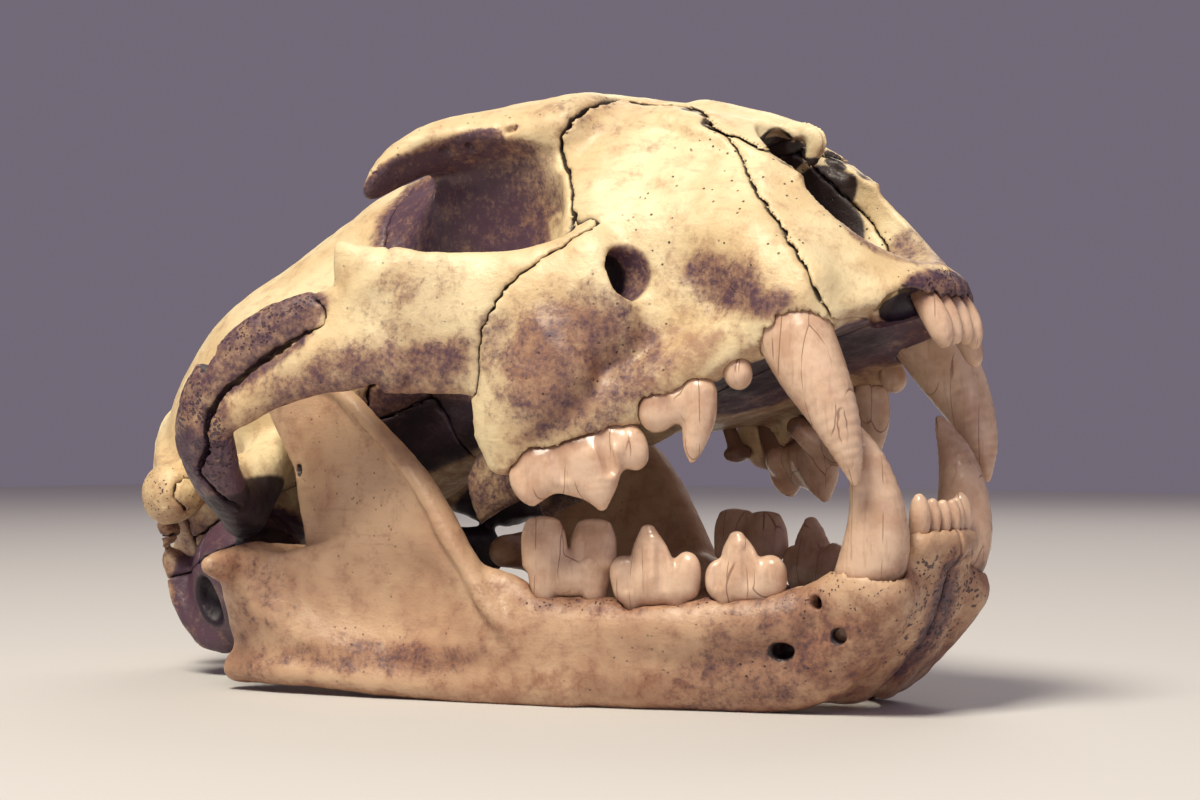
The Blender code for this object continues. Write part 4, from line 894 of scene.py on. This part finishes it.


# where each kind of mark lies, real stains and painted shade alike: middle, half sizes, how far it fades, its
# strength and its turn
marks = {
    "cranium": {
        # real stains, and painted shade under ledges and in hollows such as the palate, ear bulla and jaw joint
        "stain": [
            ((182, 0, 18), (12, 12.5, 12), 1.5, 0.5), ((76, 57, 33), (24, 7, 8), 2, 0.7, (0, -10, 0)),
            ((60, 56, 13), (9, 8, 10), 4, 0.95), ((66, 59, 24), (7, 6, 9), 3, 0.6),
            ((150, 0, -4), (38, 24, 9), 1.5, 0.9), ((52, 38, 1), (10, 22, 10), 3, 0.9),
            ((30, 21.5, 1), (17, 13, 15), 2, 1), ((78, 18, 16), (18, 10, 10), 4, 0.85),
            ((139, 28, 22), (9, 5, 6), 1.5, 0.8), ((161.5, 26, 13.5), (8, 4, 3.4), 4, 0.66, (0, 40, 0)),
            ((136, 39, 8), (17, 8, 11), 6, 0.52), ((170, 25, 6), (4, 4, 2), 2, 0.7),
            ((124, 43.5, 13), (3.5, 3, 8), 3, 0.5), ((137, 38, 16), (9, 4, 3), 4, 0.5),
            ((146, 33, 9), (3, 4, 4), 3, 0.5), ((98, 51, 18), (26, 8, 4), 7, 0.62, (0, 8, 0)),
            ((98, 34, 57), (3.5, 3.5, 2), 1.5, 0.6), ((189, 5, 2.5), (3, 9, 3), 1.5, 0.8),
            ((134, 22, 58), (4, 4, 3), 3, 0.3), ((16, 22, 12), (8, 10, 9), 4, 0.5),
            ((88, 11, 0), (14, 4, 11), 2, 0.6), ((140, 17, 56), (9, 8, 5), 4, 0.3),
            ((112, 49, 27), (6, 8, 8), 6, 0.3)],
        # painted shade inside the nose, palate, nerve canal, ear opening, jaw joint, empty socket and temple
        "void": [
            ((158, 0, 25), (21, 13.5, 12), 0.8, 1), ((178, 0, 22), (12, 10, 9), 2, 0.8),
            ((165, 8.5, 31), (7, 4, 5), 1, 1), ((161.5, 0, 38.5), (6, 7.5, 3.6), 0.5, 1),
            ((169.6, 8.6, 36.9), (2.8, 3.2, 4.1), 0.4, 1), ((167, 5.2, 37.8), (3, 3.4, 4), 0.4, 1),
            ((150, 0, -5), (32, 19, 9), 2, 0.7), ((95, 0, -3), (24, 9, 13), 2, 0.8),
            ((54, 38, 5), (14, 21, 9.5), 1.5, 0.85), ((27, 30, -1), (4, 6, 5), 1, 1),
            ((183.6, 8.4, 0.5), (4.4, 3.6, 2.5), 0.4, 1, (0, 0, -38)), ((134, 29, 23), (9, 5, 6), 1, 1),
            ((80, 15, 14), (14, 8, 7), 3, 0.8)],
        "rust": [
            ((135, 39, 9), (12, 6, 9), 4, 0.95), ((146, 32, 5), (15, 6, 6), 4, 0.7),
            ((98, 51, 18), (26, 8, 5), 4, 0.6, (0, 8, 0)), ((161, 26, 13), (13, 5, 8), 4, 0.5, (0, 40, 0)),
            ((150, 18, 46), (9, 6, 5), 4, 0.3), ((20, 26, 16), (12, 12, 14), 5, 0.7),
            ((52, 50, 10), (10, 12, 9), 4, 0.6), ((68, 59, 26), (12, 4, 14), 3, 0.5)],
        "porous": [
            ((78, 57, 35), (20, 6, 4), 2, 0.9, (0, -8, 0)), ((63, 58, 24), (8, 6, 12), 3, 1),
            ((57, 56, 14), (6, 6, 6), 3, 0.9), ((25, 32, 22), (5, 5, 5), 3, 0.6),
            ((189, 6, 2.5), (4, 9, 3.5), 2, 0.9), ((161, 26, 13), (7, 4, 4), 2, 0.4, (0, 40, 0)),
            ((134, 38, 3), (14, 5, 3.5), 3, 0.35)],
        "speckle": [
            ((165, 16, 26), (22, 14, 16), 6, 1), ((140, 36, 10), (18, 10, 10), 6, 0.9),
            ((112, 22, 62), (26, 16, 6), 6, 0.7), ((95, 52, 26), (30, 10, 12), 6, 0.5)],
    },
    "jaw": {
        # real stains, and painted shade in the chin's gap and other recesses
        "stain": [
            ((126, 0, 23), (11, 2.5, 18), 3.5, 0.8, (0, -30, 0)), ((8, 44, 30), (8, 12, 16), 4, 0.35),
            ((34, 40, 19.5), (26, 5, 2), 3, 0.5, (0, 3, 0)), ((115, 14, 14), (14, 8, 6), 5, 0.4, (0, -30, 0)),
            ((88, 28, 27.5), (32, 6, 1), 2, 0.4), ((60, 18, 20), (60, 8, 16), 4, 0.5)],
        # painted shade inside the jaw's small holes
        "void": [
            ((117.2, 15, 26), (1.3, 3, 1.3), 0.3, 1), ((120.3, 15, 20.1), (1.8, 4, 1.8), 0.3, 1),
            ((109.6, 18, 17.9), (2.4, 4, 1.8), 0.3, 1), ((15.1, 38.6, 54.6), (1.1, 1.6, 1.1), 0.3, 1)],
        "rust": [
            ((80, 32, 10), (40, 10, 5), 5, 0.6), ((125, 10, 16), (16, 10, 14), 5, 0.7),
            ((61, 35, 26), (5, 5, 9), 3, 0.5), ((88, 28, 28), (34, 6, 2), 2, 0.6)],
        "porous": [
            ((128, 3, 26), (9, 8, 16), 2, 0.9, (0, -30, 0)), ((88, 28, 28), (34, 8, 1.5), 1.5, 0.6),
            ((120, 16, 27), (10, 6, 4), 3, 0.5)],
        "speckle": [
            ((110, 14, 20), (24, 12, 14), 6, 1), ((50, 34, 16), (50, 12, 8), 6, 0.5),
            ((24, 38, 45), (14, 6, 26), 5, 0.5)],
    },
}


def markValue(points, part, kind):
    total = np.zeros(len(points))
    for centre, radii, fade, strength, *turn in marks[part][kind]:
        gap = egg(centre, radii, *turn)[2](*points.T)
        total = np.maximum(total, strength * np.clip(1 - gap / fade, 0, 1))
    return total


# the limits of the eye socket's painted shade
eyeSocket = {
    "back": 79, "front": 137, "bottom": 28, "side": 37, "middle": 6,
    "roof": (57.5, 32, 126),                # under it, inside it and behind it lies the socket's wall
    "frontWall": 124, "top": 61.5,
    "fade": (146, 30, 0.4),
    "waist": {"front": 97, "side": 21, "crest": 12, "middle": -1, "top": 66, "crestTop": 71},
}


def socketShade(points, facing):
    # painted shade on the eye socket's roof and walls inside its rim, and on the waist of the skull behind them
    x, y, z = points.T
    narrow = eyeSocket["waist"]
    waist = (x < narrow["front"]) & (y < narrow["side"])
    crest = waist & (y < narrow["crest"])
    top = np.where(crest, narrow["crestTop"], np.where(waist, narrow["top"], eyeSocket["top"]))
    inside = np.min([(x - eyeSocket["back"]) / 5, (eyeSocket["front"] - x) / 1.5, (z - eyeSocket["bottom"]) / 4,
                     (top - z) / np.where(crest, 7, 1.5), (eyeSocket["side"] - y) / 2,
                     (y - np.where(waist, narrow["middle"], eyeSocket["middle"])) / np.where(waist, 5, 2)], axis=0)
    under = np.clip((np.where(waist, 1.2, 0.30) - facing[:, 2]) / 0.12, 0, 1)
    below, within, behind = eyeSocket["roof"]
    wall = np.clip(np.min([(below - z) / 1.5, (within - y) / 2, (behind - x) / 2], axis=0), 0, 1)
    turnedBack = np.where(x > eyeSocket["frontWall"], np.clip((0.05 - facing[:, 0]) / 0.15, 0, 1), 1)
    end, length, least = eyeSocket["fade"]
    fading = np.clip((end - x) / length, least, 1)
    return np.clip(inside, 0, 1) * np.maximum(under * turnedBack, wall) * fading


def ownValues(points, part, clay, deep, tight):
    # what the materials read at each point; the right side takes the left side's
    left = points.copy()
    left[:, 1] = np.abs(left[:, 1])
    values = {key: sample(near, clay.low, clay.grain, left) for key, near in (("deep", deep), ("tight", tight))}
    for kind in marks[part]:
        values[kind] = markValue(left, part, kind)
    facing = slopeOf(clay.field, clay.low, clay.grain, left)
    facing = facing / np.maximum(np.linalg.norm(facing, axis=1, keepdims=True), 0.1)
    # painted shade on downward-facing bone, in the rust colour
    values["rust"] = np.maximum(values["rust"], 0.75 * np.clip((-0.25 - facing[:, 2]) / 0.5, 0, 1))
    if part == "cranium":
        # painted shade in the eye socket, added to the stain marks
        values["stain"] = np.maximum(values["stain"], 0.92 * socketShade(left, facing))
    return values


# the bone's relief: height, size and seed of each swelling, and the pits of the porous places
boneRelief = {"swell": ((0.22, 7, 1), (0.12, 2.6, 2), (0.05, 1.3, 3)), "pits": ((1, 2.2, 5), (0.6, 1.2, 6)),
              "depth": 0.9, "share": 0.45, "uneven": (0.25, 3.5, 7)}


def roughen(clay, part):
    band, points = clay.places(np.abs(clay.field) < 1.5)
    swell = sum(height * noise(points, size, seed) for height, size, seed in boneRelief["swell"])
    pitted = sum(height * np.abs(noise(points, size, seed)) for height, size, seed in boneRelief["pits"])
    height, size, seed = boneRelief["uneven"]
    pits = boneRelief["depth"] * np.clip(boneRelief["share"] - pitted, 0, 1) + height * noise(points, size, seed)
    clay.field[band] += swell + markValue(points, part, "porous") * pits


def surfaceOf(field, low, grain):
    points, quads = keepLargest(*surfaceNet(field, low, grain))
    return relax(points, quads, field, low, grain), quads


# where the gum ended: places along each row, and their heights
gumLine = {
    "upper": ([112, 116, 122, 130, 138, 147, 158, 163, 171, 177, 184],
              [-2.5, -5.5, -4, -5.5, -4, -1.5, 0.5, 1.5, 3.5, 3, 0.5]),
    "lower": ([60, 72, 85, 100, 110, 117, 121, 125, 131, 134],
              [29, 28.4, 27.5, 26.5, 26, 31, 30.5, 29.5, 31, 35.5]),
}


def buildTeeth():
    for name in teeth:
        low, high = toothBox(name)
        clay = Clay(low, high, grains["tooth"])
        clay.field = toothDistance(name, clay.window(low - 1, high + 1)[1])
        points, quads = surfaceOf(clay.field, clay.low, clay.grain)
        jaw = name.split("_")[0]
        part = "cranium" if jaw == "upper" else "jaw"
        tight = crowding(clay, 0.8)
        gum = gumLine[jaw]
        height = (points[:, 2] - np.interp(points[:, 0], gum[0], gum[1])) * (1 if jaw == "upper" else -1)
        values = {"root": np.clip(0.5 + height / 2.5, 0, 1), "tight": sample(tight, clay.low, clay.grain, points)}
        addPair(name, toWorld(points, part), quads, values, "tooth_enamel")
    print("teeth", len(teeth))


hollowReach = (5, 1)      # how far round a place its hollow and its crack are felt, for the painted shade in them


def addBone(name, add, field, low, maps, side=(1, 1, 1)):
    points, quads = surfaceOf(field, low, maps[0].grain)
    if side[1] < 0:
        quads = quads[:, ::-1]
    add(name, toWorld(points * side, "cranium"), quads, ownValues(points, "cranium", *maps), "cranium_bone")
    print(name, len(quads))


def buildCranium():
    clay = Clay((-4, -3 * grains["bone"], -18), (196, 70, 78), grains["bone"])
    for shapeBones in (addBraincase, addOcciput, addSkullBase, addFace, carveOrbitAndTemple, addCheekArch,
                       carveOpenings, addNasalTips):
        shapeBones(clay)
    roughen(clay, "cranium")
    for name in teeth:
        if name.startswith("upper"):
            cutSocket(clay, name)
    print("cranium sculpted", clay.field.shape)
    maps = clay, *(crowding(clay, reach) for reach in hollowReach)
    for name, field in partBones(clay):
        lines = clay.lines
        if name in midlineBones:
            field, lines = bothSides(field, lines)
        field, low = trimmed(field, lines)
        if name != "premaxilla":
            addBone(name, addPiece if name in midlineBones else addPair, field, low, maps)
            continue
        emptied = Clay(low, low + clay.grain * (np.array(field.shape) - 1.5), clay.grain)
        emptied.field = field.copy()
        emptied.add(emptySocket["rim"], 1.5)
        emptied.carve(emptySocket["hole"], 0.5)
        for tooth in emptySocket["beside"]:
            cutSocket(emptied, tooth)
        addBone(name + "_right", addPiece, emptied.field, low, maps, (1, -1, 1))
        addBone(name + "_left", addPiece, field, low, maps)


def buildJaw():
    clay = Clay((-12, -3, -2), (142, 62, 80), grains["bone"])
    addJaw(clay)
    roughen(clay, "jaw")
    for name in teeth:
        if name.startswith("lower"):
            cutSocket(clay, name)
    y = clay.window((-1e3,) * 3, (1e3,) * 3)[1][1]
    clay.field = np.maximum(clay.field, 0.4 - y)
    maps = clay, *(crowding(clay, reach) for reach in hollowReach)
    points, quads = surfaceOf(clay.field, clay.low, clay.grain)
    addPair("jaw", toWorld(points, "jaw"), quads, ownValues(points, "jaw", *maps), "jaw_bone")
    print("jaw", len(quads))


# floor, light and camera

studio = {
    "floor": (0.62, 0.60, 0.58, 1), "floorSize": 3.0,
    "camera": (0.328747, -0.399247, 0.049021), "yaw": 38.169, "pitch": 0.644, "lens": 80.2, "sensor": 36,
    "lights": [("Key", (0.06, -0.62, 1.05), 0.4, 17.5, (1.0, 0.94, 0.79)),
               ("Fill", (0.9, -0.7, 0.35), 0.9, 1.5, (0.8, 0.74, 1.0)),
               ("Back", (-0.3, 0.8, 0.8), 0.7, 3, (1.0, 0.95, 0.85))],
    "aim": (0.03, 0, 0.05), "sky": (0.40, 0.34, 0.44, 1), "skyStrength": 0.42,
}


def buildStudio():
    size = studio["floorSize"]
    bpy.ops.mesh.primitive_plane_add(size=size)
    floor = bpy.context.object
    floor.name = "Floor"
    paper = Nodes("FloorPaper", studio["floor"])
    paper.emboss(paper.noise(2), 0.02)
    floor.data.materials.append(paper.finish(0.7))
    for name, place, across, power, tint in studio["lights"]:
        light = bpy.data.lights.new(name, "AREA")
        light.energy, light.size, light.color = power, across, tint
        lamp = bpy.data.objects.new(name, light)
        lamp.location = place
        lamp.rotation_euler = (Vector(studio["aim"]) - Vector(place)).to_track_quat("-Z", "Y").to_euler()
        bpy.context.scene.collection.objects.link(lamp)
    world = bpy.data.worlds.new("Sky")
    world.use_nodes = True
    background = world.node_tree.nodes["Background"]
    background.inputs[0].default_value, background.inputs[1].default_value = studio["sky"], studio["skyStrength"]
    bpy.context.scene.world = world
    bpy.context.scene.view_settings.view_transform = "Standard"
    print("studio", len(studio["lights"]), "lights")


def buildCamera():
    lens = bpy.data.cameras.new("Camera")
    lens.lens, lens.sensor_width = studio["lens"], studio["sensor"]
    camera = bpy.data.objects.new("Camera", lens)
    camera.location = studio["camera"]
    camera.rotation_euler = (np.radians(90 + studio["pitch"]), 0, np.radians(studio["yaw"]))
    bpy.context.scene.collection.objects.link(camera)
    bpy.context.scene.camera = camera


grains = {"bone": 0.6, "tooth": 0.3}
materials = {
    "cranium_bone": boneMaterial("CraniumBone", boneLook),
    "jaw_bone": boneMaterial("JawBone", jawLook),
    "tooth_enamel": toothMaterial("Enamel", toothLook),
}
buildCranium()
buildJaw()
buildTeeth()
buildStudio()
buildCamera()
